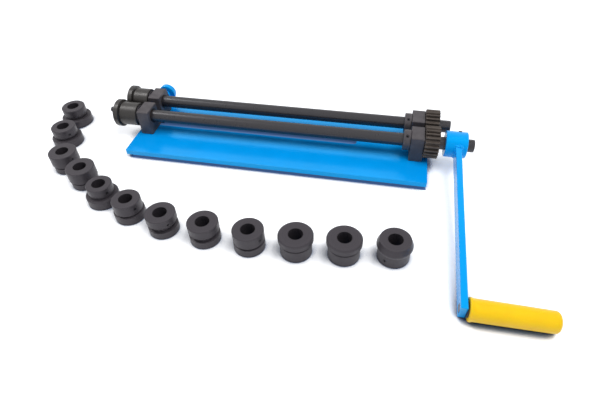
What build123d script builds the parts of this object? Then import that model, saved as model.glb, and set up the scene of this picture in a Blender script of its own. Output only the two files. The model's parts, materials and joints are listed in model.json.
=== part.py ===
from build123d import *
import math
import os

# Bead roller lying flat, in millimetres.
# Bench frame: X along the shafts towards the crank, Y from the plate's clamp edge to its rear
# edge, Z up from the floor. Every shape is moved at the end, so that the origin is the middle of
# the whole machine's footprint.

os.makedirs("parts", exist_ok=True)

# plate
PLATE_START_X = -2.0
PLATE_LENGTH = 547.0
PLATE_WIDTH = 190.0
PLATE_THICKNESS = 9.0
PLATE_CORNER_RADIUS = 2.0
THROAT_DEPTH = 457.2
SLOT_WIDTH = 24.0
SLOT_CORNER_RADIUS = 6.0

# bearing blocks
BLOCK_THICKNESS = 23.0
BLOCK_WIDTH = 38.0
BLOCK_HEIGHT = 48.0
BLOCK_CHAMFER = 1.0
DIE_BLOCK_INSET = 8.7
GEAR_BLOCK_INSET = 10.6
BORE_ABOVE_PLATE = 31.0
LOWER_SHAFT_Y = 73.4
SHAFT_SPACING = 51.5

# shafts and their fits
SHAFT_RADIUS = 11.0
SHAFT_CHAMFER = 1.0
BUSH_WALL = 2.4
RUNNING_CLEARANCE = 0.08
SEAT_CLEARANCE = 0.02
LOWER_SHAFT_OVERHANG = 13.0
UPPER_SHAFT_OVERHANG = 20.8
SHAFT_END_RECESS = 0.5

# swivel bush of the upper gear block
BALL_RADIUS = 15.0
BALL_WIDTH = 18.0
BALL_CLEARANCE = 0.05
SWIVEL_THROAT_CLEARANCE = 1.2

# block bolts
BOLT_RADIUS = 4.0
BOLT_HEAD_FLATS = 13.0
BOLT_HEAD_HEIGHT = 5.3
BOLT_SPACING = 16.0
BOLT_OFFSET = 5.0
BOLT_ENGAGEMENT = 13.0
BOLT_HOLE_EXTRA_DEPTH = 1.0
BOLT_HOLE_CLEARANCE = 0.5
THREAD_CLEARANCE = 0.05
WASHER_RADIUS = 7.5
WASHER_THICKNESS = 1.6

# sliding die block
SLIDE_GAP = 0.05
SLIDE_WASHER_GAP = 0.1
SLIDE_HEAD_RELIEF = 0.3
TRAVEL_OUT = 2.0
TRAVEL_IN = 0.3

# adjuster
ADJUSTER_SHIFT = 2.0
ADJUSTER_DROP = 3.5
ADJUSTER_RADIUS = 6.0
ADJUSTER_NECK_RADIUS = 2.9
ADJUSTER_DISC_RADIUS = 7.0
ADJUSTER_DISC_THICKNESS = 2.4
ADJUSTER_POCKET_DEPTH = 2.6
ADJUSTER_POCKET_CLEARANCE = 0.4
ADJUSTER_END_Y = 175.5
LUG_FRONT_Y = 149.2
LUG_THICKNESS = 6.0
LUG_WIDTH = 18.0
KEEPER_THICKNESS = 2.5
KEEPER_WIDTH = 18.0
KEEPER_HEIGHT = 27.0
KEEPER_SCREW_RADIUS = 1.5
KEEPER_SCREW_LENGTH = 8.0
KEEPER_SCREW_HEAD_RADIUS = 2.75
KEEPER_SCREW_HEAD_HEIGHT = 1.6
KEEPER_SCREW_INSET = 3.2
KNOB_RADIUS = 16.5
KNOB_LENGTH = 11.0
KNOB_FRONT_Y = 157.2
KNOB_CHAMFER = 1.2
KNOB_NUT_FLATS = 18.0
KNOB_NUT_HEIGHT = 6.0

# rollers on the shafts
ROLLER_FLANGE_RADIUS = 25.5
ROLLER_BODY_RADIUS = 21.5
ROLLER_FLANGE_LENGTH = 9.0
ROLLER_GROOVE_LENGTH = 2.5
ROLLER_GROOVE_DEPTH = 1.5
ROLLER_CHAMFER = 1.0
ROLLER_SCREW_INSET = 20.0
ROLLER_SCREW_ANGLE = 270.0
LOWER_ROLLER_LENGTH = 44.0
UPPER_ROLLER_LENGTH = 40.3
SPACER_LENGTH = 3.2
SPACER_RADIUS = 18.0
ROLLER_SEAT_CLEARANCE = 0.02

# end plates
END_PLATE_RADIUS = 12.5
LOWER_END_PLATE_THICKNESS = 8.0
UPPER_END_PLATE_THICKNESS = 5.0
END_SCREW_RADIUS = 3.0
END_SCREW_OFFSET = 5.5
END_SCREW_HEAD_RADIUS = 5.0
END_SCREW_HEAD_HEIGHT = 6.0
END_SCREW_DEPTH = 12.0
UPPER_SCREW_HEAD_HEIGHT = 3.0

# collars
COLLAR_RADIUS = 18.0
COLLAR_LENGTH = 12.5
COLLAR_GAP = 0.3
COLLAR_CHAMFER = 0.8
COLLAR_SCREW_ANGLE = 125.0

# set screws
SET_SCREW_RADIUS = 3.0
ROLLER_SCREW_LENGTH = 8.0
COLLAR_SCREW_LENGTH = 6.5
HUB_SCREW_LENGTH = 12.5
SET_SCREW_SOCKET_RADIUS = 1.7
SET_SCREW_SOCKET_DEPTH = 3.0

# gears
GEAR_TEETH = 22
GEAR_LENGTH = 24.0
GEAR_GAP = 0.4
GEAR_PRESSURE_ANGLE = 20.0
GEAR_ADDENDUM = 0.85
GEAR_DEDENDUM = 1.10
GEAR_BACKLASH = 0.3
FLANK_POINTS = 5
GEAR_EDGE_CHAMFER = 0.6
GEAR_START_ANGLE = 90.0
KEY_SIZE = 6.0
KEY_LENGTH = 20.0
KEY_SHAFT_DEPTH = 3.0
KEY_CLEARANCE = 0.03

# crank
HUB_GAP = 10.1
HUB_LENGTH = 35.9
HUB_RADIUS = 22.5
HUB_CHAMFER = 0.8
HUB_SCREW_INSET = 23.1
HUB_SCREW_ANGLE = 62.0
ARM_INSET = 16.3
ARM_THICKNESS = 9.5
ARM_DEPTH = 25.0
ARM_TAIL = 6.5
ARM_WELD_GAP = 0.1
CRANK_RADIUS = 313.0

# grip
GRIP_LIP_RADIUS = 16.2
GRIP_LIP_LENGTH = 3.5
GRIP_LIP_BLEND = 2.5
GRIP_ROOT_RADIUS = 15.3
GRIP_TIP_RADIUS = 14.5
GRIP_LENGTH = 110.6
GRIP_END_ROUND = 6.0
GRIP_PIN_RADIUS = 4.0
GRIP_PIN_HEAD_RADIUS = 7.0
GRIP_PIN_HEAD_LENGTH = 4.0
GRIP_POCKET_DEPTH = 12.0
GRIP_POCKET_CLEARANCE = 1.0
GRIP_END_PLAY = 0.1
GRIP_WASHER_RADIUS = 11.0
GRIP_WASHER_THICKNESS = 2.0
PIN_CAP_RADIUS = 6.0
PIN_CAP_DEPTH = 2.0

# loose dies
DIE_HEIGHT = 37.0
DIE_BORE_CLEARANCE = 0.02
DIE_EDGE = 1.0
DIE_BODY_RADIUS = 24.0
DIE_NOSE_RADIUS = 22.0
DIE_WAIST_RADIUS = 20.0
DIE_BASE_BEVEL = 2.0
DIE_FLARE_HEIGHT = 6.0
DIE_FLANGE_RADIUS = 26.5
DIE_NECK_RADIUS = 22.8
DIE_NECK_HEIGHT = 22.0
DIE_SCREW_BELOW_TOP = 9.5
DIE_SCREW_ABOVE_FOOT = 11.0

# derived places
PLATE_END_X = PLATE_START_X + PLATE_LENGTH
PLATE_BOTTOM = BOLT_HEAD_HEIGHT + WASHER_THICKNESS
PLATE_TOP = PLATE_BOTTOM + PLATE_THICKNESS
SHAFT_Z = PLATE_TOP + BORE_ABOVE_PLATE
UPPER_SHAFT_Y = LOWER_SHAFT_Y + SHAFT_SPACING
NIP_Y = LOWER_SHAFT_Y + SHAFT_SPACING / 2
DIE_BLOCK_X = PLATE_START_X + DIE_BLOCK_INSET
GEAR_BLOCK_X = PLATE_END_X - GEAR_BLOCK_INSET - BLOCK_THICKNESS
DIE_BLOCK_MIDDLE_X = DIE_BLOCK_X + BLOCK_THICKNESS / 2
GEAR_BLOCK_MIDDLE_X = GEAR_BLOCK_X + BLOCK_THICKNESS / 2
LOWER_ROLLER_X = DIE_BLOCK_X - SPACER_LENGTH - LOWER_ROLLER_LENGTH
UPPER_ROLLER_X = DIE_BLOCK_X - SPACER_LENGTH - UPPER_ROLLER_LENGTH
SLOT_END_X = LOWER_ROLLER_X + THROAT_DEPTH
COLLAR_X = GEAR_BLOCK_X - COLLAR_GAP - COLLAR_LENGTH
GEAR_X = GEAR_BLOCK_X + BLOCK_THICKNESS + GEAR_GAP
GEAR_END_X = GEAR_X + GEAR_LENGTH
HUB_X = GEAR_END_X + HUB_GAP
ARM_X = HUB_X + ARM_INSET
HUB_SCREW_X = HUB_X + HUB_SCREW_INSET
LOWER_SHAFT_END_X = HUB_X + HUB_LENGTH + LOWER_SHAFT_OVERHANG
UPPER_SHAFT_END_X = GEAR_END_X + UPPER_SHAFT_OVERHANG
ADJUSTER_X = DIE_BLOCK_MIDDLE_X + ADJUSTER_SHIFT
ADJUSTER_Z = SHAFT_Z - ADJUSTER_DROP
BUSH_RADIUS = SHAFT_RADIUS + BUSH_WALL
BUSH_BORE_RADIUS = SHAFT_RADIUS + RUNNING_CLEARANCE
GRIP_X = ARM_X + ARM_THICKNESS + GRIP_WASHER_THICKNESS + GRIP_END_PLAY
GRIP_AXIS_Z = GRIP_LIP_RADIUS
CRANK_DROP = SHAFT_Z - GRIP_AXIS_Z
GRIP_AXIS_Y = LOWER_SHAFT_Y - math.sqrt(CRANK_RADIUS ** 2 - CRANK_DROP ** 2)
CRANK_ANGLE = math.degrees(math.asin(CRANK_DROP / CRANK_RADIUS))
GEAR_MODULE = SHAFT_SPACING / GEAR_TEETH
GEAR_TIP_RADIUS = SHAFT_SPACING / 2 + GEAR_ADDENDUM * GEAR_MODULE
DIE_SCREW_HIGH = DIE_HEIGHT - DIE_SCREW_BELOW_TOP


def nosed_outline(base_radius, base_height, nose_radius):
    # a broad base with a narrower nose above it; outline pairs are (radius, height)
    return [
        (base_radius - DIE_EDGE, 0.0),
        (base_radius, DIE_EDGE),
        (base_radius, base_height - DIE_BASE_BEVEL),
        (base_radius - DIE_BASE_BEVEL, base_height),
        (DIE_WAIST_RADIUS, base_height),
        (nose_radius, base_height + DIE_FLARE_HEIGHT),
        (nose_radius, DIE_HEIGHT - DIE_EDGE),
        (nose_radius - DIE_EDGE, DIE_HEIGHT),
    ]


def grooved_outline(foot_radius, foot_height, groove_radius, groove_width, taper, body_radius):
    # a foot and a body with a groove between them; the body tapers into the groove
    groove_end = foot_height + groove_width
    return [
        (foot_radius - DIE_EDGE, 0.0),
        (foot_radius, DIE_EDGE),
        (foot_radius, foot_height - DIE_EDGE),
        (groove_radius, foot_height),
        (groove_radius, groove_end),
        (body_radius, groove_end + taper),
        (body_radius, DIE_HEIGHT - DIE_EDGE),
        (body_radius - DIE_EDGE, DIE_HEIGHT),
    ]


def necked_outline(flange_height, top_bevel):
    # a plain body and a flange with a short neck between them
    return [
        (DIE_BODY_RADIUS - DIE_EDGE, 0.0),
        (DIE_BODY_RADIUS, DIE_EDGE),
        (DIE_BODY_RADIUS, DIE_NECK_HEIGHT - DIE_EDGE),
        (DIE_NECK_RADIUS, DIE_NECK_HEIGHT),
        (DIE_NECK_RADIUS, flange_height - DIE_EDGE),
        (DIE_FLANGE_RADIUS, flange_height),
        (DIE_FLANGE_RADIUS, DIE_HEIGHT - top_bevel),
        (DIE_FLANGE_RADIUS - top_bevel, DIE_HEIGHT),
    ]


def flared_outline(flare_start, flange_height, bevel_start, top_radius):
    # a plain body that flares out to a flange, which narrows again to the top
    return [
        (DIE_BODY_RADIUS - DIE_EDGE, 0.0),
        (DIE_BODY_RADIUS, DIE_EDGE),
        (DIE_BODY_RADIUS, flare_start),
        (DIE_FLANGE_RADIUS, flange_height),
        (DIE_FLANGE_RADIUS, bevel_start),
        (top_radius, DIE_HEIGHT),
    ]


def radius_at(outline, height):
    for (radius, start), (next_radius, end) in zip(outline, outline[1:]):
        if start <= height < end:
            return radius + (next_radius - radius) * (height - start) / (end - start)


STEP_DIE = grooved_outline(
    foot_radius=22.5, foot_height=13.0, groove_radius=21.0, groove_width=1.5, taper=1.0,
    body_radius=DIE_BODY_RADIUS,
)
BULGE_DIE = grooved_outline(
    foot_radius=24.5, foot_height=15.0, groove_radius=20.5, groove_width=2.0, taper=1.0,
    body_radius=22.8,
)
CONE_DIE = grooved_outline(
    foot_radius=23.5, foot_height=14.0, groove_radius=19.0, groove_width=2.5, taper=7.0,
    body_radius=23.8,
)
VEE_DIE = grooved_outline(
    foot_radius=23.8, foot_height=14.5, groove_radius=20.0, groove_width=3.0, taper=5.0,
    body_radius=DIE_BODY_RADIUS,
)
LINE_DIE = grooved_outline(
    foot_radius=DIE_BODY_RADIUS, foot_height=15.0, groove_radius=21.5, groove_width=2.5, taper=1.0,
    body_radius=DIE_BODY_RADIUS,
)
SHARP_DIE = necked_outline(flange_height=27.0, top_bevel=2.2)
ROUND_DIE = necked_outline(flange_height=27.0, top_bevel=2.6)
FLARED_DIE = flared_outline(flare_start=20.0, flange_height=26.0, bevel_start=28.0, top_radius=23.0)

# each loose die: X, Y, direction and height of its set screw, and its outline
LOOSE_DIES = [
    (-156.5, 93.0, 60.0, DIE_SCREW_HIGH, nosed_outline(28.0, 17.0, DIE_NOSE_RADIUS)),
    (-137.5, 25.5, -34.0, DIE_SCREW_HIGH, nosed_outline(27.0, 17.0, DIE_NOSE_RADIUS)),
    (-95.5, -46.0, -19.0, DIE_SCREW_HIGH, STEP_DIE),
    (-41.0, -80.0, 95.0, DIE_SCREW_HIGH, STEP_DIE),
    (14.0, -115.3, -30.0, DIE_SCREW_HIGH, nosed_outline(26.5, 18.0, 21.0)),
    (75.0, -141.0, -30.0, DIE_SCREW_HIGH, BULGE_DIE),
    (141.8, -160.3, -40.0, DIE_SCREW_HIGH, CONE_DIE),
    (213.0, -167.2, 110.0, DIE_SCREW_HIGH, VEE_DIE),
    (284.5, -170.4, -28.0, DIE_SCREW_HIGH, LINE_DIE),
    (355.8, -167.8, 75.0, DIE_SCREW_ABOVE_FOOT, SHARP_DIE),
    (426.6, -162.3, 85.0, DIE_SCREW_ABOVE_FOOT, ROUND_DIE),
    (498.4, -153.0, -120.0, DIE_SCREW_ABOVE_FOOT, FLARED_DIE),
]

# footprint of the whole machine
FOOTPRINT_LEFT = min(die[0] - max(radius for radius, height in die[-1]) for die in LOOSE_DIES)
FOOTPRINT_RIGHT = GRIP_X + GRIP_LENGTH
FOOTPRINT_FRONT = GRIP_AXIS_Y - GRIP_LIP_RADIUS
FOOTPRINT_REAR = PLATE_WIDTH
ORIGIN_X = (FOOTPRINT_LEFT + FOOTPRINT_RIGHT) / 2
ORIGIN_Y = (FOOTPRINT_FRONT + FOOTPRINT_REAR) / 2


def save(shape, node):
    export_step(Pos(-ORIGIN_X, -ORIGIN_Y, 0) * shape, "parts/" + node + ".step")


def box(x0, x1, y0, y1, z0, z1):
    middle = Pos((x0 + x1) / 2, (y0 + y1) / 2, (z0 + z1) / 2)
    return middle * Box(x1 - x0, y1 - y0, z1 - z0)


def rod_x(x0, length, radius, y, z, chamfer_size=0.0):
    rod = Rot(0, 90, 0) * Cylinder(radius, length)
    if chamfer_size > 0:
        rod = chamfer(rod.edges().filter_by(GeomType.CIRCLE), chamfer_size)
    return Pos(x0 + length / 2, y, z) * rod


def rod_y(x, y0, length, radius, z):
    return Pos(x, y0 + length / 2, z) * (Rot(90, 0, 0) * Cylinder(radius, length))


def rod_z(x, y, z0, height, radius):
    return Pos(x, y, z0 + height / 2) * Cylinder(radius, height)


def hexagon_z(x, y, z0, height, flats):
    outline = RegularPolygon(flats / 2, 6, major_radius=False)
    return Pos(x, y, z0) * extrude(outline, height)


def turned(outline, bore_radius):
    # outline pairs are (radius, height); the solid stands on Z with its bore open at both ends
    first_height = outline[0][1]
    last_height = outline[-1][1]
    points = [(bore_radius, first_height)] + list(outline) + [(bore_radius, last_height)]
    face = make_face(Polyline(points, close=True))
    return revolve(Plane.XZ * face, Axis.Z)


def turned_along_x(outline, bore_radius, x0, y, z):
    # outline pairs are (radius, distance from x0)
    return Pos(x0, y, z) * (Rot(0, 90, 0) * turned(outline, bore_radius))


def set_screw(length):
    # stands on Z with its socket at the top, z = 0 at the socket end
    screw = Pos(0, 0, -length / 2) * Cylinder(SET_SCREW_RADIUS, length)
    socket = RegularPolygon(SET_SCREW_SOCKET_RADIUS, 6)
    return screw - Pos(0, 0, -SET_SCREW_SOCKET_DEPTH) * extrude(socket, SET_SCREW_SOCKET_DEPTH)


def radial_on_shaft(shape, x, y, angle, radius):
    # shape stands on Z; angle is measured in the YZ plane from +Y towards +Z
    upright = Rot(angle - 90, 0, 0) * (Pos(0, 0, radius) * shape)
    return Pos(x, y, SHAFT_Z) * upright


def screw_hole(x, y, angle, radius_outside):
    # runs from the outer face through the wall into the bore
    length = radius_outside - SHAFT_RADIUS + SET_SCREW_RADIUS
    drill = Pos(0, 0, -length / 2) * Cylinder(SET_SCREW_RADIUS + THREAD_CLEARANCE, length)
    return radial_on_shaft(drill, x, y, angle, radius_outside)


def bolt_offsets(outward):
    # outward is -1 for the lower shaft's blocks and +1 for the upper shaft's blocks
    middle = outward * BOLT_OFFSET
    return [middle - BOLT_SPACING / 2, middle + BOLT_SPACING / 2]


def block_blank(x0, shaft_y, bottom):
    blank = box(
        x0, x0 + BLOCK_THICKNESS,
        shaft_y - BLOCK_WIDTH / 2, shaft_y + BLOCK_WIDTH / 2,
        bottom, PLATE_TOP + BLOCK_HEIGHT,
    )
    return chamfer(blank.edges(), BLOCK_CHAMFER)


def bolt_holes(x, shaft_y, outward):
    depth = BOLT_ENGAGEMENT + BOLT_HOLE_EXTRA_DEPTH
    holes = []
    for offset in bolt_offsets(outward):
        hole = rod_z(x, shaft_y + offset, PLATE_TOP, depth, BOLT_RADIUS + THREAD_CLEARANCE)
        holes.append(hole)
    return holes


def bush(x0, shaft_y):
    outer = rod_x(x0, BLOCK_THICKNESS, BUSH_RADIUS, shaft_y, SHAFT_Z)
    inner = rod_x(x0, BLOCK_THICKNESS, BUSH_BORE_RADIUS, shaft_y, SHAFT_Z)
    return outer - inner


def bushed_block(x0, shaft_y, outward, bottom):
    block = block_blank(x0, shaft_y, bottom)
    block -= rod_x(x0, BLOCK_THICKNESS, BUSH_RADIUS + SEAT_CLEARANCE, shaft_y, SHAFT_Z)
    for hole in bolt_holes(x0 + BLOCK_THICKNESS / 2, shaft_y, outward):
        block -= hole
    return block


def block_bolt(x, y, head_relief):
    head_height = BOLT_HEAD_HEIGHT - head_relief
    shank_height = WASHER_THICKNESS + PLATE_THICKNESS + BOLT_ENGAGEMENT
    head = hexagon_z(x, y, head_relief, head_height, BOLT_HEAD_FLATS)
    return head + rod_z(x, y, BOLT_HEAD_HEIGHT, shank_height, BOLT_RADIUS)


def bolt_washer(x, y, thickness):
    outer = rod_z(x, y, BOLT_HEAD_HEIGHT, thickness, WASHER_RADIUS)
    return outer - rod_z(x, y, BOLT_HEAD_HEIGHT, thickness, BOLT_RADIUS + THREAD_CLEARANCE)


def roller_outline(length):
    flange_end = ROLLER_FLANGE_LENGTH
    body_start = flange_end + ROLLER_GROOVE_LENGTH
    groove_radius = ROLLER_BODY_RADIUS - ROLLER_GROOVE_DEPTH
    return [
        (ROLLER_FLANGE_RADIUS - ROLLER_CHAMFER, 0.0),
        (ROLLER_FLANGE_RADIUS, ROLLER_CHAMFER),
        (ROLLER_FLANGE_RADIUS, flange_end),
        (groove_radius, flange_end + ROLLER_GROOVE_DEPTH),
        (groove_radius, body_start),
        (ROLLER_BODY_RADIUS, body_start),
        (ROLLER_BODY_RADIUS, length - ROLLER_CHAMFER),
        (ROLLER_BODY_RADIUS - ROLLER_CHAMFER, length),
    ]


def roller(x0, length, shaft_y):
    bore = SHAFT_RADIUS + ROLLER_SEAT_CLEARANCE
    return turned_along_x(roller_outline(length), bore, x0, shaft_y, SHAFT_Z)


def ring_on_shaft(x0, length, radius, shaft_y, chamfer_size):
    ring = rod_x(x0, length, radius, shaft_y, SHAFT_Z, chamfer_size)
    return ring - rod_x(x0, length, SHAFT_RADIUS + SEAT_CLEARANCE, shaft_y, SHAFT_Z)


def end_screw_places(shaft_y):
    return [(shaft_y, SHAFT_Z + END_SCREW_OFFSET), (shaft_y, SHAFT_Z - END_SCREW_OFFSET)]


def end_plate(roller_x, thickness, shaft_y, head_height, head_radius):
    x0 = roller_x - thickness
    plate = rod_x(x0, thickness, END_PLATE_RADIUS, shaft_y, SHAFT_Z)
    for y, z in end_screw_places(shaft_y):
        plate -= rod_x(x0, thickness, END_SCREW_RADIUS + THREAD_CLEARANCE, y, z)
        if head_height > 0:
            plate -= rod_x(x0, head_height, head_radius + THREAD_CLEARANCE, y, z)
    return plate


def shaft(roller_x, end_x, shaft_y):
    start_x = roller_x + SHAFT_END_RECESS
    rod = rod_x(start_x, end_x - start_x, SHAFT_RADIUS, shaft_y, SHAFT_Z, SHAFT_CHAMFER)
    for y, z in end_screw_places(shaft_y):
        rod -= rod_x(start_x, END_SCREW_DEPTH, END_SCREW_RADIUS + THREAD_CLEARANCE, y, z)
    return rod - key_box(shaft_y, KEY_CLEARANCE)


def end_screws(roller_x, shaft_y, head_x, head_height, head_radius):
    screws = []
    shank_start = head_x + head_height
    shank_end = roller_x + END_SCREW_DEPTH
    for y, z in end_screw_places(shaft_y):
        head = rod_x(head_x, head_height, head_radius, y, z)
        socket = RegularPolygon(END_SCREW_RADIUS, 6)
        socket_depth = head_height / 2
        recess = Pos(head_x, y, z) * (Rot(0, 90, 0) * extrude(socket, socket_depth))
        shank = rod_x(shank_start, shank_end - shank_start, END_SCREW_RADIUS, y, z)
        screws.append(head + shank - recess)
    return Compound(children=screws)


def key_box(shaft_y, clearance):
    middle_x = GEAR_X + GEAR_LENGTH / 2
    bottom = SHAFT_Z + SHAFT_RADIUS - KEY_SHAFT_DEPTH
    return box(
        middle_x - KEY_LENGTH / 2 - clearance, middle_x + KEY_LENGTH / 2 + clearance,
        shaft_y - KEY_SIZE / 2 - clearance, shaft_y + KEY_SIZE / 2 + clearance,
        bottom - clearance, bottom + KEY_SIZE + clearance,
    )


def keyway_box(shaft_y):
    top = SHAFT_Z + SHAFT_RADIUS - KEY_SHAFT_DEPTH + KEY_SIZE + KEY_CLEARANCE
    return box(
        GEAR_X, GEAR_X + GEAR_LENGTH,
        shaft_y - KEY_SIZE / 2 - KEY_CLEARANCE, shaft_y + KEY_SIZE / 2 + KEY_CLEARANCE,
        SHAFT_Z, top,
    )


def involute(base_radius, radius):
    roll = math.sqrt(radius ** 2 - base_radius ** 2) / base_radius
    return roll - math.atan(roll)


def gear_outline():
    # closed outline about the origin, with one tooth centred on the first axis
    pitch_radius = SHAFT_SPACING / 2
    base_radius = pitch_radius * math.cos(math.radians(GEAR_PRESSURE_ANGLE))
    root_radius = pitch_radius - GEAR_DEDENDUM * GEAR_MODULE
    half_pitch_angle = math.pi / (2 * GEAR_TEETH) - GEAR_BACKLASH / (4 * pitch_radius)
    half_base_angle = half_pitch_angle + involute(base_radius, pitch_radius)
    flank = [(root_radius, half_base_angle)]
    for step in range(FLANK_POINTS):
        share = step / (FLANK_POINTS - 1)
        radius = base_radius + share * (GEAR_TIP_RADIUS - base_radius)
        flank.append((radius, half_base_angle - involute(base_radius, radius)))
    points = []
    for tooth in range(GEAR_TEETH):
        middle = 2 * math.pi * tooth / GEAR_TEETH
        for radius, angle in flank:
            points.append((radius * math.cos(middle - angle), radius * math.sin(middle - angle)))
        for radius, angle in reversed(flank):
            points.append((radius * math.cos(middle + angle), radius * math.sin(middle + angle)))
    return make_face(Polyline(points, close=True))


def gear(shaft_y, turn):
    blank = extrude(gear_outline(), GEAR_LENGTH)
    cap = Pos(0, 0, GEAR_LENGTH / 2) * Cylinder(GEAR_TIP_RADIUS, GEAR_LENGTH)
    cap = chamfer(cap.edges().filter_by(GeomType.CIRCLE), GEAR_EDGE_CHAMFER)
    wheel = Rot(0, 90, 0) * (Rot(0, 0, turn) * (blank & cap))
    wheel = Pos(GEAR_X, shaft_y, SHAFT_Z) * wheel
    wheel -= rod_x(GEAR_X, GEAR_LENGTH, SHAFT_RADIUS + SEAT_CLEARANCE, shaft_y, SHAFT_Z)
    return wheel - keyway_box(shaft_y)


# frame plate
plate = box(PLATE_START_X, PLATE_END_X, 0, PLATE_WIDTH, PLATE_BOTTOM, PLATE_TOP)
plate = fillet(plate.edges().filter_by(Axis.Z), PLATE_CORNER_RADIUS)
slot_tool = box(
    -SLOT_END_X, SLOT_END_X, NIP_Y - SLOT_WIDTH / 2, NIP_Y + SLOT_WIDTH / 2, 0, 2 * PLATE_TOP,
)
slot_tool = fillet(slot_tool.edges().filter_by(Axis.Z), SLOT_CORNER_RADIUS)
plate -= slot_tool
BOLT_HOLE_RADIUS = BOLT_RADIUS + BOLT_HOLE_CLEARANCE
FIXED_BOLTS = []
for block_x, shaft_y, outward in [
    (DIE_BLOCK_MIDDLE_X, LOWER_SHAFT_Y, -1),
    (GEAR_BLOCK_MIDDLE_X, LOWER_SHAFT_Y, -1),
    (GEAR_BLOCK_MIDDLE_X, UPPER_SHAFT_Y, 1),
]:
    for offset in bolt_offsets(outward):
        FIXED_BOLTS.append((block_x, shaft_y + offset))
for x, y in FIXED_BOLTS:
    plate -= rod_z(x, y, PLATE_BOTTOM, PLATE_THICKNESS, BOLT_HOLE_RADIUS)
SLIDE_BOLTS = [(DIE_BLOCK_MIDDLE_X, UPPER_SHAFT_Y + offset) for offset in bolt_offsets(1)]
for x, y in SLIDE_BOLTS:
    front_y = y - TRAVEL_IN
    rear_y = y + TRAVEL_OUT
    plate -= rod_z(x, front_y, PLATE_BOTTOM, PLATE_THICKNESS, BOLT_HOLE_RADIUS)
    plate -= rod_z(x, rear_y, PLATE_BOTTOM, PLATE_THICKNESS, BOLT_HOLE_RADIUS)
    plate -= box(
        x - BOLT_HOLE_RADIUS, x + BOLT_HOLE_RADIUS, front_y, rear_y, PLATE_BOTTOM, PLATE_TOP,
    )
save(plate, "frame_plate")

# fixed blocks, bushes, bolts and washers
save(bushed_block(DIE_BLOCK_X, LOWER_SHAFT_Y, -1, PLATE_TOP), "lower_die_block")
save(bushed_block(GEAR_BLOCK_X, LOWER_SHAFT_Y, -1, PLATE_TOP), "lower_gear_block")
save(bush(DIE_BLOCK_X, LOWER_SHAFT_Y), "lower_die_bush")
save(bush(GEAR_BLOCK_X, LOWER_SHAFT_Y), "lower_gear_bush")
swivel_block = block_blank(GEAR_BLOCK_X, UPPER_SHAFT_Y, PLATE_TOP)
swivel_centre = Pos(GEAR_BLOCK_MIDDLE_X, UPPER_SHAFT_Y, SHAFT_Z)
swivel_block -= swivel_centre * Sphere(BALL_RADIUS + BALL_CLEARANCE)
swivel_throat_radius = SHAFT_RADIUS + SWIVEL_THROAT_CLEARANCE
swivel_block -= rod_x(
    GEAR_BLOCK_X, BLOCK_THICKNESS, swivel_throat_radius, UPPER_SHAFT_Y, SHAFT_Z,
)
for hole in bolt_holes(GEAR_BLOCK_MIDDLE_X, UPPER_SHAFT_Y, 1):
    swivel_block -= hole
save(swivel_block, "upper_gear_block")
save(Compound(children=[block_bolt(x, y, 0.0) for x, y in FIXED_BOLTS]), "block_bolts")
save(
    Compound(children=[bolt_washer(x, y, WASHER_THICKNESS) for x, y in FIXED_BOLTS]),
    "block_washers",
)

# lug that carries the adjuster's thread
lug_crown_radius = LUG_WIDTH / 2
lug_x0 = ADJUSTER_X - lug_crown_radius
lug_rear_y = LUG_FRONT_Y + LUG_THICKNESS
lug = box(lug_x0, lug_x0 + LUG_WIDTH, LUG_FRONT_Y, lug_rear_y, PLATE_TOP, ADJUSTER_Z)
lug += rod_y(ADJUSTER_X, LUG_FRONT_Y, LUG_THICKNESS, lug_crown_radius, ADJUSTER_Z)
lug_bore_radius = ADJUSTER_RADIUS + RUNNING_CLEARANCE
lug -= rod_y(ADJUSTER_X, LUG_FRONT_Y, LUG_THICKNESS, lug_bore_radius, ADJUSTER_Z)
save(lug, "adjuster_lug")

# upper die block on its slide
slide_block = bushed_block(DIE_BLOCK_X, UPPER_SHAFT_Y, 1, PLATE_TOP + SLIDE_GAP)
block_rear_y = UPPER_SHAFT_Y + BLOCK_WIDTH / 2
slide_block -= rod_y(
    ADJUSTER_X, block_rear_y - ADJUSTER_POCKET_DEPTH, ADJUSTER_POCKET_DEPTH,
    ADJUSTER_DISC_RADIUS + ADJUSTER_POCKET_CLEARANCE, ADJUSTER_Z,
)
keeper_half_width = KEEPER_WIDTH / 2
keeper_screw_x = keeper_half_width - KEEPER_SCREW_INSET
keeper_screw_z = KEEPER_HEIGHT / 2 - KEEPER_SCREW_INSET
keeper_corners = [(-1, -1), (-1, 1), (1, -1), (1, 1)]
keeper_screw_places = [
    (ADJUSTER_X + side * keeper_screw_x, ADJUSTER_Z + level * keeper_screw_z)
    for side, level in keeper_corners
]
shank_depth = KEEPER_SCREW_LENGTH - KEEPER_THICKNESS
for x, z in keeper_screw_places:
    slide_block -= rod_y(
        x, block_rear_y - shank_depth, shank_depth, KEEPER_SCREW_RADIUS + THREAD_CLEARANCE, z,
    )
save(slide_block, "upper_die_block")
save(bush(DIE_BLOCK_X, UPPER_SHAFT_Y), "upper_die_bush")
save(
    Compound(children=[block_bolt(x, y, SLIDE_HEAD_RELIEF) for x, y in SLIDE_BOLTS]),
    "slide_bolts",
)
slide_washer_thickness = WASHER_THICKNESS - SLIDE_WASHER_GAP
save(
    Compound(children=[bolt_washer(x, y, slide_washer_thickness) for x, y in SLIDE_BOLTS]),
    "slide_washers",
)
keeper_neck_radius = ADJUSTER_NECK_RADIUS + RUNNING_CLEARANCE
keeper = box(
    ADJUSTER_X - keeper_half_width, ADJUSTER_X + keeper_half_width,
    block_rear_y, block_rear_y + KEEPER_THICKNESS,
    ADJUSTER_Z - KEEPER_HEIGHT / 2, ADJUSTER_Z + KEEPER_HEIGHT / 2,
)
keeper -= rod_y(ADJUSTER_X, block_rear_y, KEEPER_THICKNESS, keeper_neck_radius, ADJUSTER_Z)
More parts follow.
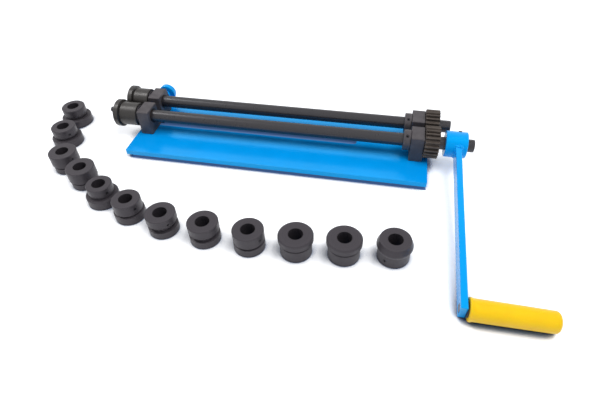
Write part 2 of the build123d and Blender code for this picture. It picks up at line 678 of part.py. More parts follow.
keeper -= box(
    ADJUSTER_X - keeper_neck_radius, ADJUSTER_X + keeper_neck_radius,
    block_rear_y, block_rear_y + KEEPER_THICKNESS, ADJUSTER_Z - KEEPER_HEIGHT, ADJUSTER_Z,
)
head_sink_y = block_rear_y + KEEPER_THICKNESS - KEEPER_SCREW_HEAD_HEIGHT
keeper_screws = []
for x, z in keeper_screw_places:
    keeper -= rod_y(
        x, block_rear_y, KEEPER_THICKNESS, KEEPER_SCREW_RADIUS + THREAD_CLEARANCE, z,
    )
    keeper -= rod_y(
        x, head_sink_y, KEEPER_SCREW_HEAD_HEIGHT, KEEPER_SCREW_HEAD_RADIUS + THREAD_CLEARANCE, z,
    )
    shank_length = KEEPER_SCREW_LENGTH - KEEPER_SCREW_HEAD_HEIGHT
    screw = rod_y(x, head_sink_y - shank_length, shank_length, KEEPER_SCREW_RADIUS, z)
    screw += rod_y(x, head_sink_y, KEEPER_SCREW_HEAD_HEIGHT, KEEPER_SCREW_HEAD_RADIUS, z)
    keeper_screws.append(screw)
save(keeper, "adjuster_keeper")
save(Compound(children=keeper_screws), "keeper_screws")

# adjuster screw, knob and nut
disc_y = block_rear_y - (ADJUSTER_POCKET_DEPTH + ADJUSTER_DISC_THICKNESS) / 2
neck_start_y = disc_y + ADJUSTER_DISC_THICKNESS
thread_start_y = block_rear_y + KEEPER_THICKNESS + RUNNING_CLEARANCE
thread_length = ADJUSTER_END_Y - thread_start_y
adjuster = rod_y(
    ADJUSTER_X, disc_y, ADJUSTER_DISC_THICKNESS, ADJUSTER_DISC_RADIUS, ADJUSTER_Z,
)
adjuster += rod_y(
    ADJUSTER_X, neck_start_y, thread_start_y - neck_start_y, ADJUSTER_NECK_RADIUS, ADJUSTER_Z,
)
adjuster += rod_y(ADJUSTER_X, thread_start_y, thread_length, ADJUSTER_RADIUS, ADJUSTER_Z)
save(adjuster, "adjuster_screw")
knob_bore_radius = ADJUSTER_RADIUS + SEAT_CLEARANCE
knob = rod_y(ADJUSTER_X, KNOB_FRONT_Y, KNOB_LENGTH, KNOB_RADIUS, ADJUSTER_Z)
knob = chamfer(knob.edges().filter_by(GeomType.CIRCLE), KNOB_CHAMFER)
knob -= rod_y(ADJUSTER_X, KNOB_FRONT_Y, KNOB_LENGTH, knob_bore_radius, ADJUSTER_Z)
save(knob, "adjuster_knob")
nut_blank = extrude(RegularPolygon(KNOB_NUT_FLATS / 2, 6, major_radius=False), KNOB_NUT_HEIGHT)
nut_blank -= Pos(0, 0, KNOB_NUT_HEIGHT / 2) * Cylinder(knob_bore_radius, KNOB_NUT_HEIGHT)
nut_place = Pos(ADJUSTER_X, KNOB_FRONT_Y + KNOB_LENGTH, ADJUSTER_Z)
save(nut_place * (Rot(-90, 0, 0) * nut_blank), "knob_nut")

# swivel bush
ball = swivel_centre * Sphere(BALL_RADIUS)
ball_left_x = GEAR_BLOCK_MIDDLE_X - BALL_WIDTH / 2
ball &= box(
    ball_left_x, ball_left_x + BALL_WIDTH,
    UPPER_SHAFT_Y - BALL_RADIUS, UPPER_SHAFT_Y + BALL_RADIUS,
    SHAFT_Z - BALL_RADIUS, SHAFT_Z + BALL_RADIUS,
)
ball -= rod_x(ball_left_x, BALL_WIDTH, BUSH_BORE_RADIUS, UPPER_SHAFT_Y, SHAFT_Z)
save(ball, "swivel_bush")

# what each shaft carries
for name, shaft_y, roller_x, roller_length, end_x, tooth_turn in [
    ("lower", LOWER_SHAFT_Y, LOWER_ROLLER_X, LOWER_ROLLER_LENGTH, LOWER_SHAFT_END_X, 0.0),
    (
        "upper", UPPER_SHAFT_Y, UPPER_ROLLER_X, UPPER_ROLLER_LENGTH, UPPER_SHAFT_END_X,
        180.0 / GEAR_TEETH,
    ),
]:
    save(shaft(roller_x, end_x, shaft_y), name + "_shaft")
    save(gear(shaft_y, GEAR_START_ANGLE + tooth_turn), name + "_gear")
    save(key_box(shaft_y, 0.0), name + "_gear_key")
    roller_screw_x = roller_x + ROLLER_SCREW_INSET
    collar_screw_x = COLLAR_X + COLLAR_LENGTH / 2
    bead_roller = roller(roller_x, roller_length, shaft_y)
    bead_roller -= screw_hole(roller_screw_x, shaft_y, ROLLER_SCREW_ANGLE, ROLLER_BODY_RADIUS)
    save(bead_roller, name + "_roller")
    collar = ring_on_shaft(COLLAR_X, COLLAR_LENGTH, COLLAR_RADIUS, shaft_y, COLLAR_CHAMFER)
    collar -= screw_hole(collar_screw_x, shaft_y, COLLAR_SCREW_ANGLE, COLLAR_RADIUS)
    save(collar, name + "_collar")
    spacer = ring_on_shaft(
        DIE_BLOCK_X - SPACER_LENGTH, SPACER_LENGTH - SHAFT_END_RECESS, SPACER_RADIUS, shaft_y, 0.0,
    )
    save(spacer, name + "_spacer_ring")
    screw_places = [
        (roller_screw_x, ROLLER_SCREW_ANGLE, ROLLER_SCREW_LENGTH),
        (collar_screw_x, COLLAR_SCREW_ANGLE, COLLAR_SCREW_LENGTH),
    ]
    if name == "lower":
        # cap heads stand on this plate
        screw_places.append((HUB_SCREW_X, HUB_SCREW_ANGLE, HUB_SCREW_LENGTH))
        plate_thickness = LOWER_END_PLATE_THICKNESS
        sink = 0.0
        head_height = END_SCREW_HEAD_HEIGHT
        head_x = roller_x - plate_thickness - head_height
    else:
        # low heads are sunk into this plate
        plate_thickness = UPPER_END_PLATE_THICKNESS
        sink = UPPER_SCREW_HEAD_HEIGHT
        head_height = UPPER_SCREW_HEAD_HEIGHT
        head_x = roller_x - plate_thickness
    retainer = end_plate(roller_x, plate_thickness, shaft_y, sink, END_SCREW_HEAD_RADIUS)
    save(retainer, name + "_end_plate")
    cap_screws = end_screws(roller_x, shaft_y, head_x, head_height, END_SCREW_HEAD_RADIUS)
    save(cap_screws, name + "_end_screws")
    grub_screws = [
        radial_on_shaft(set_screw(length), x, shaft_y, angle, SHAFT_RADIUS + length)
        for x, angle, length in screw_places
    ]
    save(Compound(children=grub_screws), name + "_set_screws")

# crank
hub = rod_x(HUB_X, HUB_LENGTH, HUB_RADIUS, LOWER_SHAFT_Y, SHAFT_Z, HUB_CHAMFER)
hub -= rod_x(HUB_X, HUB_LENGTH, SHAFT_RADIUS + SEAT_CLEARANCE, LOWER_SHAFT_Y, SHAFT_Z)
hub -= screw_hole(HUB_SCREW_X, LOWER_SHAFT_Y, HUB_SCREW_ANGLE, HUB_RADIUS)
save(hub, "crank_hub")
arm = box(0, ARM_THICKNESS, -CRANK_RADIUS - ARM_TAIL, 0, -ARM_DEPTH / 2, ARM_DEPTH / 2)
arm = Pos(ARM_X, LOWER_SHAFT_Y, SHAFT_Z) * (Rot(CRANK_ANGLE, 0, 0) * arm)
arm -= rod_x(ARM_X, ARM_THICKNESS, HUB_RADIUS + ARM_WELD_GAP, LOWER_SHAFT_Y, SHAFT_Z)
countersink = [
    (PIN_CAP_RADIUS + SEAT_CLEARANCE, 0.0),
    (GRIP_PIN_RADIUS + SEAT_CLEARANCE, PIN_CAP_DEPTH),
    (GRIP_PIN_RADIUS + SEAT_CLEARANCE, ARM_THICKNESS),
]
arm -= turned_along_x(countersink, 0.0, ARM_X, GRIP_AXIS_Y, GRIP_AXIS_Z)
save(arm, "crank_arm")

# grip and its pin
grip_end_x = GRIP_X + GRIP_LENGTH
pocket_x = grip_end_x - GRIP_POCKET_DEPTH
pin_head_start = pocket_x + GRIP_END_PLAY - ARM_X
pin_outline = [
    (PIN_CAP_RADIUS, 0.0),
    (GRIP_PIN_RADIUS, PIN_CAP_DEPTH),
    (GRIP_PIN_RADIUS, pin_head_start),
    (GRIP_PIN_HEAD_RADIUS, pin_head_start),
    (GRIP_PIN_HEAD_RADIUS, pin_head_start + GRIP_PIN_HEAD_LENGTH),
]
save(turned_along_x(pin_outline, 0.0, ARM_X, GRIP_AXIS_Y, GRIP_AXIS_Z), "grip_pin")
washer_outline = [(GRIP_WASHER_RADIUS, 0.0), (GRIP_WASHER_RADIUS, GRIP_WASHER_THICKNESS)]
grip_washer = turned_along_x(
    washer_outline, GRIP_PIN_RADIUS + SEAT_CLEARANCE, ARM_X + ARM_THICKNESS, GRIP_AXIS_Y,
    GRIP_AXIS_Z,
)
save(grip_washer, "grip_washer")
grip_outline = [
    (GRIP_LIP_RADIUS, 0.0),
    (GRIP_LIP_RADIUS, GRIP_LIP_LENGTH),
    (GRIP_ROOT_RADIUS, GRIP_LIP_LENGTH + GRIP_LIP_BLEND),
    (GRIP_TIP_RADIUS, GRIP_LENGTH),
]
grip = turned_along_x(grip_outline, 0.0, GRIP_X, GRIP_AXIS_Y, GRIP_AXIS_Z)
grip_rim = grip.edges().filter_by(GeomType.CIRCLE).sort_by(Axis.X)[-1]
grip = fillet(grip_rim, GRIP_END_ROUND)
grip -= rod_x(
    GRIP_X, GRIP_LENGTH, GRIP_PIN_RADIUS + RUNNING_CLEARANCE, GRIP_AXIS_Y, GRIP_AXIS_Z,
)
pocket_radius = GRIP_PIN_HEAD_RADIUS + GRIP_POCKET_CLEARANCE
grip -= rod_x(pocket_x, GRIP_POCKET_DEPTH, pocket_radius, GRIP_AXIS_Y, GRIP_AXIS_Z)
save(grip, "crank_grip")

# loose dies
die_bore_radius = SHAFT_RADIUS + DIE_BORE_CLEARANCE
drill_radius = SET_SCREW_RADIUS + THREAD_CLEARANCE
die_screws = []
for number, (x, y, direction, screw_height, outline) in enumerate(LOOSE_DIES, start=1):
    face_radius = radius_at(outline, screw_height)
    screw_place = Pos(face_radius, 0, screw_height) * Rot(0, 90, 0)
    drill = Pos(0, 0, -face_radius / 2) * Cylinder(drill_radius, face_radius)
    die = turned(outline, die_bore_radius) - screw_place * drill
    die_screw = screw_place * set_screw(face_radius - die_bore_radius)
    place = Pos(x, y, 0) * Rot(0, 0, direction)
    save(place * die, "loose_die_{:02d}".format(number))
    die_screws.append(place * die_screw)
save(Compound(children=die_screws), "die_set_screws")
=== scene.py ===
"""Hand cranked bead roller lying on a pale studio floor, with its row of loose forming dies."""

import json
import logging
import math
from dataclasses import dataclass
from enum import Enum

import bmesh
import bpy
from mathutils import Euler, Matrix, Vector

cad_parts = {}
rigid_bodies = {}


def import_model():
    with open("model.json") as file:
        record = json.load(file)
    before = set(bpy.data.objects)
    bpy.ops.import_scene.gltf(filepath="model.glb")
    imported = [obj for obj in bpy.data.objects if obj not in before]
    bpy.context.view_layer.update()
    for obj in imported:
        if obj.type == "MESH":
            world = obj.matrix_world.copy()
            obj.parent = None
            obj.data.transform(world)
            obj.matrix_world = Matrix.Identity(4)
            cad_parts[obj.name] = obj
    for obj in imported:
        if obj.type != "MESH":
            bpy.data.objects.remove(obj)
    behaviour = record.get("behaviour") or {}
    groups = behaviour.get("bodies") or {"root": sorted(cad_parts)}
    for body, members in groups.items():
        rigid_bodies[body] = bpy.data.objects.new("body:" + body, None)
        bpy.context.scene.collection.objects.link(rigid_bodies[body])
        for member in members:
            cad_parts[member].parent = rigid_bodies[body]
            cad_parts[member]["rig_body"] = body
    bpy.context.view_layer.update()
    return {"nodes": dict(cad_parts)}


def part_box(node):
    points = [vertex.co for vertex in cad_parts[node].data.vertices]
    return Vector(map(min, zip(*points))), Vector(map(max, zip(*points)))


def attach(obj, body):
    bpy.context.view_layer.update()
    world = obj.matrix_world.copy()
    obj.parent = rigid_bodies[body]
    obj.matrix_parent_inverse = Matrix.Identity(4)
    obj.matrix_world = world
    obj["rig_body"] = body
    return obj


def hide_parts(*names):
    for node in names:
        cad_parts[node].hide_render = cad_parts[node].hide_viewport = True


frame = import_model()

LOG = logging.getLogger("bead_roller")

MM = 0.001
SMOOTH_ANGLE = math.radians(32.0)
MERGE_DISTANCE = 0.004 * MM
FLAT_ANGLE = math.radians(0.6)

# A weld's two waves, in radians for each step along it, and the slower one's share.
WELD_WAVE = 2.1
WELD_DRIFT = 0.53
WELD_DRIFT_SHARE = 0.5

# The rings that vary a turned face's shade, as a share of the fine rings' number.
COARSE_RINGS = 0.22

# Where a colour mix node keeps its mask, its two colours and its result.
MIX_MASK, MIX_UNDER, MIX_OVER, MIX_COLOUR = 0, 6, 7, 2

FLOAT = "NodeSocketFloat"
VECTOR = "NodeSocketVector"

Shape = bmesh.types.BMesh
Piece = bpy.types.Object
Material = bpy.types.Material
Tree = bpy.types.NodeTree
Node = bpy.types.Node
Socket = bpy.types.NodeSocket
Colour = tuple[float, float, float]
WHITE: Colour = (1.0, 1.0, 1.0)


def srgb(code: str) -> Colour:
    """Turn a six digit colour code into linear red, green and blue.

    Args:
        code: The colour as written on a paint card, such as "0098e8".

    Returns:
        The three linear channel values.
    """
    channels = [int(code[start:start + 2], 16) / 255 for start in (0, 2, 4)]
    linear = [c / 12.92 if c <= 0.04045 else ((c + 0.055) / 1.055) ** 2.4 for c in channels]
    return linear[0], linear[1], linear[2]


# --------------------------------------------------------------------------- shader helpers


def feed(tree: Tree, socket: Socket, value: object) -> None:
    """Link a socket to another one, or set its value."""
    if isinstance(value, Socket):
        tree.links.new(value, socket)
    else:
        socket.default_value = value


def add_node(tree: Tree, kind: str, **values: object) -> Node:
    """Add a node, set its properties, and set or link its inputs.

    Args:
        tree: The tree that gets the node.
        kind: The node's class name.
        values: Properties by name, or values and sockets for its inputs by name, with
            underscores for spaces.

    Returns:
        The new node.
    """
    node = tree.nodes.new(kind)
    for name, value in values.items():
        if hasattr(node, name):
            setattr(node, name, value)
        else:
            feed(tree, node.inputs[name.replace("_", " ")], value)
    return node


def maths(tree: Tree, operation: str, *terms: object, use_clamp: bool = False) -> Socket:
    """Calculate with values that are sockets or numbers.

    Args:
        tree: The tree that gets the node.
        operation: What to calculate.
        terms: The values, in the node's own order.
        use_clamp: Whether the result is kept between 0 and 1.

    Returns:
        The result's socket.
    """
    node = add_node(tree, "ShaderNodeMath", operation=operation, use_clamp=use_clamp)
    for socket, term in zip(node.inputs, terms):
        feed(tree, socket, term)
    return node.outputs["Value"]


def ranged(tree: Tree, value: Socket, low: float, high: float, **values: object) -> Socket:
    """Stretch a range of a value to the range from 0 to 1, or to another one.

    Args:
        tree: The tree that gets the node.
        value: The value's socket.
        low: The value that becomes 0.
        high: The value that becomes 1.
        values: The node's other properties and inputs.

    Returns:
        The result's socket.
    """
    node = add_node(tree, "ShaderNodeMapRange", Value=value, From_Min=low, From_Max=high,
                    **values)
    return node.outputs["Result"]


def mixed(tree: Tree, mask: Socket, under: Socket | Colour, over: Socket | Colour) -> Socket:
    """Lay a colour over another where a mask is 1.

    Args:
        tree: The tree that gets the node.
        mask: The mask's socket.
        under: The colour below, or its socket.
        over: The colour on top, or its socket.

    Returns:
        The mixed colour's socket.
    """
    node = add_node(tree, "ShaderNodeMix", data_type="RGBA")
    feed(tree, node.inputs[MIX_MASK], mask)
    for place, colour in ((MIX_UNDER, under), (MIX_OVER, over)):
        feed(tree, node.inputs[place], (*colour, 1.0) if isinstance(colour, tuple) else colour)
    return node.outputs[MIX_COLOUR]


def new_group(name: str, inputs: dict[str, str],
              outputs: dict[str, str]) -> tuple[Tree, Node, Node]:
    """Make an empty shader group with named sockets.

    Args:
        name: The group's name.
        inputs: Socket kinds by input name.
        outputs: Socket kinds by output name.

    Returns:
        The group's tree, its input node and its output node.
    """
    tree = bpy.data.node_groups.new(name, "ShaderNodeTree")
    for socket, kind in inputs.items():
        tree.interface.new_socket(name=socket, in_out="INPUT", socket_type=kind)
    for socket, kind in outputs.items():
        tree.interface.new_socket(name=socket, in_out="OUTPUT", socket_type=kind)
    return tree, tree.nodes.new("NodeGroupInput"), tree.nodes.new("NodeGroupOutput")


class Effects:
    """The shader groups that several finishes share, each built once."""

    def __init__(self) -> None:
        """Build every group."""
        self.edge_wear_and_highlight = self._edge_wear_and_highlight()
        self.mottle = self._mottle()
        self.turned_grain = self._turned_grain()
        self.orange_peel = self._orange_peel()
        self.tool_marks = self._tool_marks()
        self.specks = self._specks()

    @staticmethod
    def _edge_wear_and_highlight() -> Tree:
        """Mask that is 1 along outer edges and breaks up in patches, for worn edges and for
        painted edge highlights.

        Returns:
            The group, with inputs Vector, Radius, Breakup and Amount and the output Mask.
        """
        tree, start, end = new_group(
            "edge_wear_and_highlight",
            {"Vector": VECTOR, "Radius": FLOAT, "Breakup": FLOAT, "Amount": FLOAT},
            {"Mask": FLOAT},
        )
        bevel = add_node(tree, "ShaderNodeBevel", samples=6, Radius=start.outputs["Radius"])
        surface = add_node(tree, "ShaderNodeNewGeometry")
        along = add_node(tree, "ShaderNodeVectorMath", operation="DOT_PRODUCT")
        feed(tree, along.inputs[0], bevel.outputs["Normal"])
        feed(tree, along.inputs[1], surface.outputs["Normal"])
        noise = add_node(tree, "ShaderNodeTexNoise", Vector=start.outputs["Vector"],
                         Scale=start.outputs["Breakup"], Detail=6.0, Roughness=0.65)
        edge = ranged(tree, along.outputs["Value"], 0.995, 0.80)
        patches = ranged(tree, noise.outputs["Fac"], 0.42, 0.66)
        broken = maths(tree, "MULTIPLY", edge, patches)
        mask = maths(tree, "MULTIPLY", broken, start.outputs["Amount"], use_clamp=True)
        feed(tree, end.inputs["Mask"], mask)
        return tree

    @staticmethod
    def _mottle() -> Tree:
        """Soft uneven value between two limits, for roughness and shade.

        Returns:
            The group, with inputs Vector, Scale, Low and High and the output Value.
        """
        tree, start, end = new_group(
            "mottle",
            {"Vector": VECTOR, "Scale": FLOAT, "Low": FLOAT, "High": FLOAT},
            {"Value": FLOAT},
        )
        noise = add_node(tree, "ShaderNodeTexNoise", Vector=start.outputs["Vector"],
                         Scale=start.outputs["Scale"], Detail=5.0, Roughness=0.6)
        limits = ranged(tree, noise.outputs["Fac"], 0.30, 0.70, interpolation_type="SMOOTHSTEP",
                        To_Min=start.outputs["Low"], To_Max=start.outputs["High"])
        feed(tree, end.inputs["Value"], limits)
        return tree

    @staticmethod
    def _turned_grain() -> Tree:
        """Fine rings about the mapped Z axis, as a lathe tool leaves them.

        Returns:
            The group, with inputs Vector, Pitch and Bore and the outputs Height, Shade and
            Inside, which is 1 in the bore.
        """
        tree, start, end = new_group(
            "turned_grain",
            {"Vector": VECTOR, "Pitch": FLOAT, "Bore": FLOAT},
            {"Height": FLOAT, "Shade": FLOAT, "Inside": FLOAT},
        )
        pitch = start.outputs["Pitch"]
        split = add_node(tree, "ShaderNodeSeparateXYZ", Vector=start.outputs["Vector"])
        flat = add_node(tree, "ShaderNodeCombineXYZ", X=split.outputs["X"], Y=split.outputs["Y"])
        length = add_node(tree, "ShaderNodeVectorMath", operation="LENGTH",
                          Vector=flat.outputs["Vector"])
        radius = length.outputs["Value"]
        place = add_node(tree, "ShaderNodeCombineXYZ", X=radius, Y=split.outputs["Z"])
        fine = add_node(tree, "ShaderNodeTexNoise", Vector=place.outputs["Vector"], Scale=pitch,
                        Detail=3.0, Roughness=0.7)
        coarse = add_node(tree, "ShaderNodeTexNoise", Vector=place.outputs["Vector"],
                          Scale=maths(tree, "MULTIPLY", pitch, COARSE_RINGS), Detail=2.0,
                          Roughness=0.5)
        feed(tree, end.inputs["Height"], fine.outputs["Fac"])
        feed(tree, end.inputs["Shade"], coarse.outputs["Fac"])
        feed(tree, end.inputs["Inside"], maths(tree, "LESS_THAN", radius, start.outputs["Bore"]))
        return tree

    @staticmethod
    def _orange_peel() -> Tree:
        """Low ripples of sprayed enamel or moulded plastic.

        Returns:
            The group, with inputs Vector and Scale and the output Height.
        """
        tree, start, end = new_group(
            "orange_peel", {"Vector": VECTOR, "Scale": FLOAT}, {"Height": FLOAT}
        )
        noise = add_node(tree, "ShaderNodeTexNoise", Vector=start.outputs["Vector"],
                         Scale=start.outputs["Scale"], Detail=2.0, Roughness=0.4)
        feed(tree, end.inputs["Height"], noise.outputs["Fac"])
        return tree

    @staticmethod
    def _tool_marks() -> Tree:
        """Fine straight lines across Z, as a saw or a milling cutter leaves them.

        Returns:
            The group, with inputs Vector and Scale and the output Height.
        """
        tree, start, end = new_group(
            "tool_marks", {"Vector": VECTOR, "Scale": FLOAT}, {"Height": FLOAT}
        )
        stretch = add_node(tree, "ShaderNodeMapping", Vector=start.outputs["Vector"],
                           Scale=(0.08, 0.08, 1.0))
        noise = add_node(tree, "ShaderNodeTexNoise", Vector=stretch.outputs["Vector"],
                         Scale=start.outputs["Scale"], Detail=4.0, Roughness=0.7)
        feed(tree, end.inputs["Height"], noise.outputs["Fac"])
        return tree

    @staticmethod
    def _specks() -> Tree:
        """Sparse small dots, for dust under enamel and pits in moulded plastic.

        Returns:
            The group, with inputs Vector, Scale and Amount and the output Mask.
        """
        tree, start, end = new_group(
            "specks", {"Vector": VECTOR, "Scale": FLOAT, "Amount": FLOAT}, {"Mask": FLOAT}
        )
        cells = add_node(tree, "ShaderNodeTexVoronoi", Vector=start.outputs["Vector"],
                         Scale=start.outputs["Scale"])
        patches = add_node(tree, "ShaderNodeTexNoise", Vector=start.outputs["Vector"], Scale=35.0,
                           Detail=2.0)
        dots = ranged(tree, cells.outputs["Distance"], 0.10, 0.04)
        few = ranged(tree, patches.outputs["Fac"], 0.50, 0.68)
        both = maths(tree, "MULTIPLY", dots, few)
        mask = maths(tree, "MULTIPLY", both, start.outputs["Amount"], use_clamp=True)
        feed(tree, end.inputs["Mask"], mask)
        return tree


class Axis(Enum):
    """The way a turned piece's axis runs."""

    ALONG_SHAFT = (0.0, -math.pi / 2, 0.0)
    ACROSS = (math.pi / 2, 0.0, 0.0)
    UPRIGHT = (0.0, 0.0, 0.0)


# --------------------------------------------------------------------------- finishes


class Slot(Enum):
    """The record's material slots."""

    ENAMEL = "blue_paint"
    BLACK = "black_steel"
    BUSH = "bronze"
    BEARING = "bearing_steel"
    FASTENER = "dark_fasteners"
    SHAFT = "shaft_steel"
    GEAR = "gear_steel"
    TOOL = "tool_steel"
    GRIP = "yellow_plastic"


def scaled(colour: Colour, factor: float) -> Colour:
    """Return the colour made lighter or darker by a factor."""
    return colour[0] * factor, colour[1] * factor, colour[2] * factor


@dataclass
class Canvas:
    """A material in the making, with its shader and its object coordinates."""

    material: Material
    tree: Tree
    shader: Node
    place: Socket

    def effect(self, group: Tree, place: Socket | None = None, **values: float) -> Node:
        """Place a shared effect in the material.

        Args:
            group: The effect's group.
            place: The coordinates it reads, where they aren't the object's own.
            values: The group's own inputs.

        Returns:
            The group node.
        """
        return add_node(self.tree, "ShaderNodeGroup", node_tree=group,
                        Vector=self.place if place is None else place, **values)

    def blend(self, mask: Socket, low: Colour, high: Colour) -> Socket:
        """Blend two colours by a mask.

        Args:
            mask: The mask's socket.
            low: The colour where the mask is 0.
            high: The colour where the mask is 1.

        Returns:
            The blended colour's socket.
        """
        ramp = add_node(self.tree, "ShaderNodeValToRGB", Fac=mask)
        for element, colour in zip(ramp.color_ramp.elements, (low, high)):
            element.color = (*colour, 1.0)
        return ramp.outputs["Color"]

    def wire(self, name: str, value: object) -> None:
        """Set or link one of the shader's inputs."""
        feed(self.tree, self.shader.inputs[name], value)


@dataclass(frozen=True)
class Finish:
    """What every finish has: a colour in two shades, an uneven gloss and a fine relief."""

    name: str
    slot: Slot
    colour: Colour
    roughness: float
    metallic: float = 0.0
    specular: float = 0.22
    shades: tuple[float, float] = (0.84, 1.16)
    shade_scale: float = 60.0
    gloss_limits: tuple[float, float] = (0.84, 1.22)
    gloss_scale: float = 110.0
    relief: float = 0.4
    relief_depth: float = 0.03 * MM
    relief_scale: float = 1900.0

    def start(self) -> Canvas:
        """Make the material and set the shader's constants.

        Returns:
            The material in the making.
        """
        material = bpy.data.materials.new(self.name)
        material.use_nodes = True
        tree = material.node_tree
        place = add_node(tree, "ShaderNodeTexCoord").outputs["Object"]
        canvas = Canvas(material, tree, tree.nodes["Principled BSDF"], place)
        canvas.wire("Base Color", (*self.colour, 1.0))
        canvas.wire("Roughness", self.roughness)
        canvas.wire("Metallic", self.metallic)
        canvas.wire("Specular IOR Level", self.specular)
        return canvas

    def shaded(self, canvas: Canvas, mask: Socket) -> Socket:
        """Vary the colour between its two shades by a mask."""
        return canvas.blend(mask, *(scaled(self.colour, shade) for shade in self.shades))

    def mottled(self, canvas: Canvas, effects: Effects) -> Socket:
        """Vary the colour between its two shades in soft patches."""
        patches = canvas.effect(effects.mottle, Scale=self.shade_scale, Low=0.0, High=1.0)
        return self.shaded(canvas, patches.outputs["Value"])

    def complete(self, canvas: Canvas, effects: Effects, colour: Socket,
                 height: Socket) -> Material:
        """Give the shader its colour, its uneven roughness and its relief.

        Args:
            canvas: The material in the making.
            effects: The shared shader groups.
            colour: The colour's socket.
            height: The relief's socket.

        Returns:
            The finished material.
        """
        low, high = self.gloss_limits
        gloss = canvas.effect(effects.mottle, Scale=self.gloss_scale, Low=self.roughness * low,
                              High=self.roughness * high)
        bump = add_node(canvas.tree, "ShaderNodeBump", Height=height, Strength=self.relief,
                        Distance=self.relief_depth)
        canvas.wire("Base Color", colour)
        canvas.wire("Roughness", gloss.outputs["Value"])
        canvas.wire("Normal", bump.outputs["Normal"])
        return canvas.material


@dataclass(frozen=True)
class EdgeWearAndHighlightFinish(Finish):
    """A finish whose outer edges take another colour: worn metal on the steels, a painted
    highlight on the enamel, and both on the gear.
    """

    wear_and_highlight_colour: Colour = (0.11, 0.108, 0.105)
    edge_amount: float = 0.5
    edge_radius: float = 0.5 * MM
    edge_breakup: float = 140.0

    def edge_coloured(self, canvas: Canvas, effects: Effects, under: Socket) -> Socket:
        """Colour the outer edges: wear on the steels, a painted highlight on the enamel.

        Args:
            canvas: The material in the making.
            effects: The shared shader groups.
            under: The socket of the colour that the edges cover.

        Returns:
            The socket of the colour with its coloured edges.
        """
        edges = canvas.effect(effects.edge_wear_and_highlight, Radius=self.edge_radius,
                              Breakup=self.edge_breakup, Amount=self.edge_amount)
        return mixed(canvas.tree, edges.outputs["Mask"], under, self.wear_and_highlight_colour)


@dataclass(frozen=True)
class Enamel(EdgeWearAndHighlightFinish):
    """Sprayed gloss enamel on steel, with painted highlights along its outer edges and dust under
    the gloss.
    """

    specular: float = 1.0
    shades: tuple[float, float] = (0.96, 1.04)
    shade_scale: float = 9.0
    gloss_scale: float = 38.0
    relief: float = 0.5
    relief_depth: float = 0.05 * MM
    relief_scale: float = 520.0
    # A lighter blue on the outer edges: a painted highlight where they catch the light.
    wear_and_highlight_colour: Colour = (0.10, 0.56, 1.0)
    edge_amount: float = 0.9
    edge_radius: float = 0.9 * MM
    edge_breakup: float = 26.0
    dust_shade: Colour = (0.0, 0.16, 0.42)
    dust_scale: float = 420.0
    dust_amount: float = 0.35
    sheen_tint: Colour = (0.02, 0.80, 1.0)
    coat: float = 0.05
    coat_roughness: float = 0.08

    def build(self, effects: Effects) -> Material:
        """Make the enamel's material.

        Args:
            effects: The shared shader groups.

        Returns:
            The material.
        """
        canvas = self.start()
        canvas.wire("Specular Tint", (*self.sheen_tint, 1.0))
        canvas.wire("Coat Weight", self.coat)
        canvas.wire("Coat Roughness", self.coat_roughness)
        dust = canvas.effect(effects.specks, Scale=self.dust_scale, Amount=self.dust_amount)
        dusty = mixed(canvas.tree, dust.outputs["Mask"], self.mottled(canvas, effects),
                      self.dust_shade)
        peel = canvas.effect(effects.orange_peel, Scale=self.relief_scale)
        # The edges get the painted highlight.
        return self.complete(canvas, effects, self.edge_coloured(canvas, effects, dusty),
                             peel.outputs["Height"])


@dataclass(frozen=True)
class OiledSteel(EdgeWearAndHighlightFinish):
    """Sawn or milled steel with a black oxide finish and a film of oil."""

    def build(self, effects: Effects) -> Material:
        """Make the oiled steel's material.

        Args:
            effects: The shared shader groups.

        Returns:
            The material.
        """
        canvas = self.start()
        marks = canvas.effect(effects.tool_marks, Scale=self.relief_scale)
        steel = self.edge_coloured(canvas, effects, self.mottled(canvas, effects))
        return self.complete(canvas, effects, steel, marks.outputs["Height"])


@dataclass(frozen=True)
class TurnedSteel(EdgeWearAndHighlightFinish):
    """Steel turned on a lathe, with fine rings about its own axis and a bore darkened as painted
    shade.
    """

    shades: tuple[float, float] = (0.82, 1.18)
    gloss_scale: float = 70.0
    relief_depth: float = 0.02 * MM
    relief_scale: float = 2600.0
    wear_and_highlight_colour: Colour = (0.15, 0.148, 0.145)
    edge_amount: float = 0.4
    edge_radius: float = 0.6 * MM
    edge_breakup: float = 120.0
    axis: Axis = Axis.UPRIGHT
    bore: float = 0.0
    # The bore's colour as a share of the steel's: painted shade inside the bore.
    painted_bore_shade: float = 0.8

    def build(self, effects: Effects, centre: Vector) -> Material:
        """Make the turned steel's material for one piece.

        Args:
            effects: The shared shader groups.
            centre: A point on the piece's axis, in metres.

        Returns:
            The material.
        """
        canvas = self.start()
        tree = canvas.tree
        shift = add_node(tree, "ShaderNodeMapping", Vector=canvas.place, Location=-centre)
        turn = add_node(tree, "ShaderNodeMapping", Vector=shift.outputs["Vector"],
                        Rotation=self.axis.value)
        lathe = canvas.effect(effects.turned_grain, turn.outputs["Vector"],
                              Pitch=self.relief_scale, Bore=self.bore)
        steel = self.edge_coloured(canvas, effects, self.shaded(canvas, lathe.outputs["Shade"]))
        # Painted shade: the bore is darker than the outside.
        bore_darkened = mixed(tree, lathe.outputs["Inside"], steel, scaled(self.colour, self.painted_bore_shade))
        return self.complete(canvas, effects, bore_darkened, lathe.outputs["Height"])


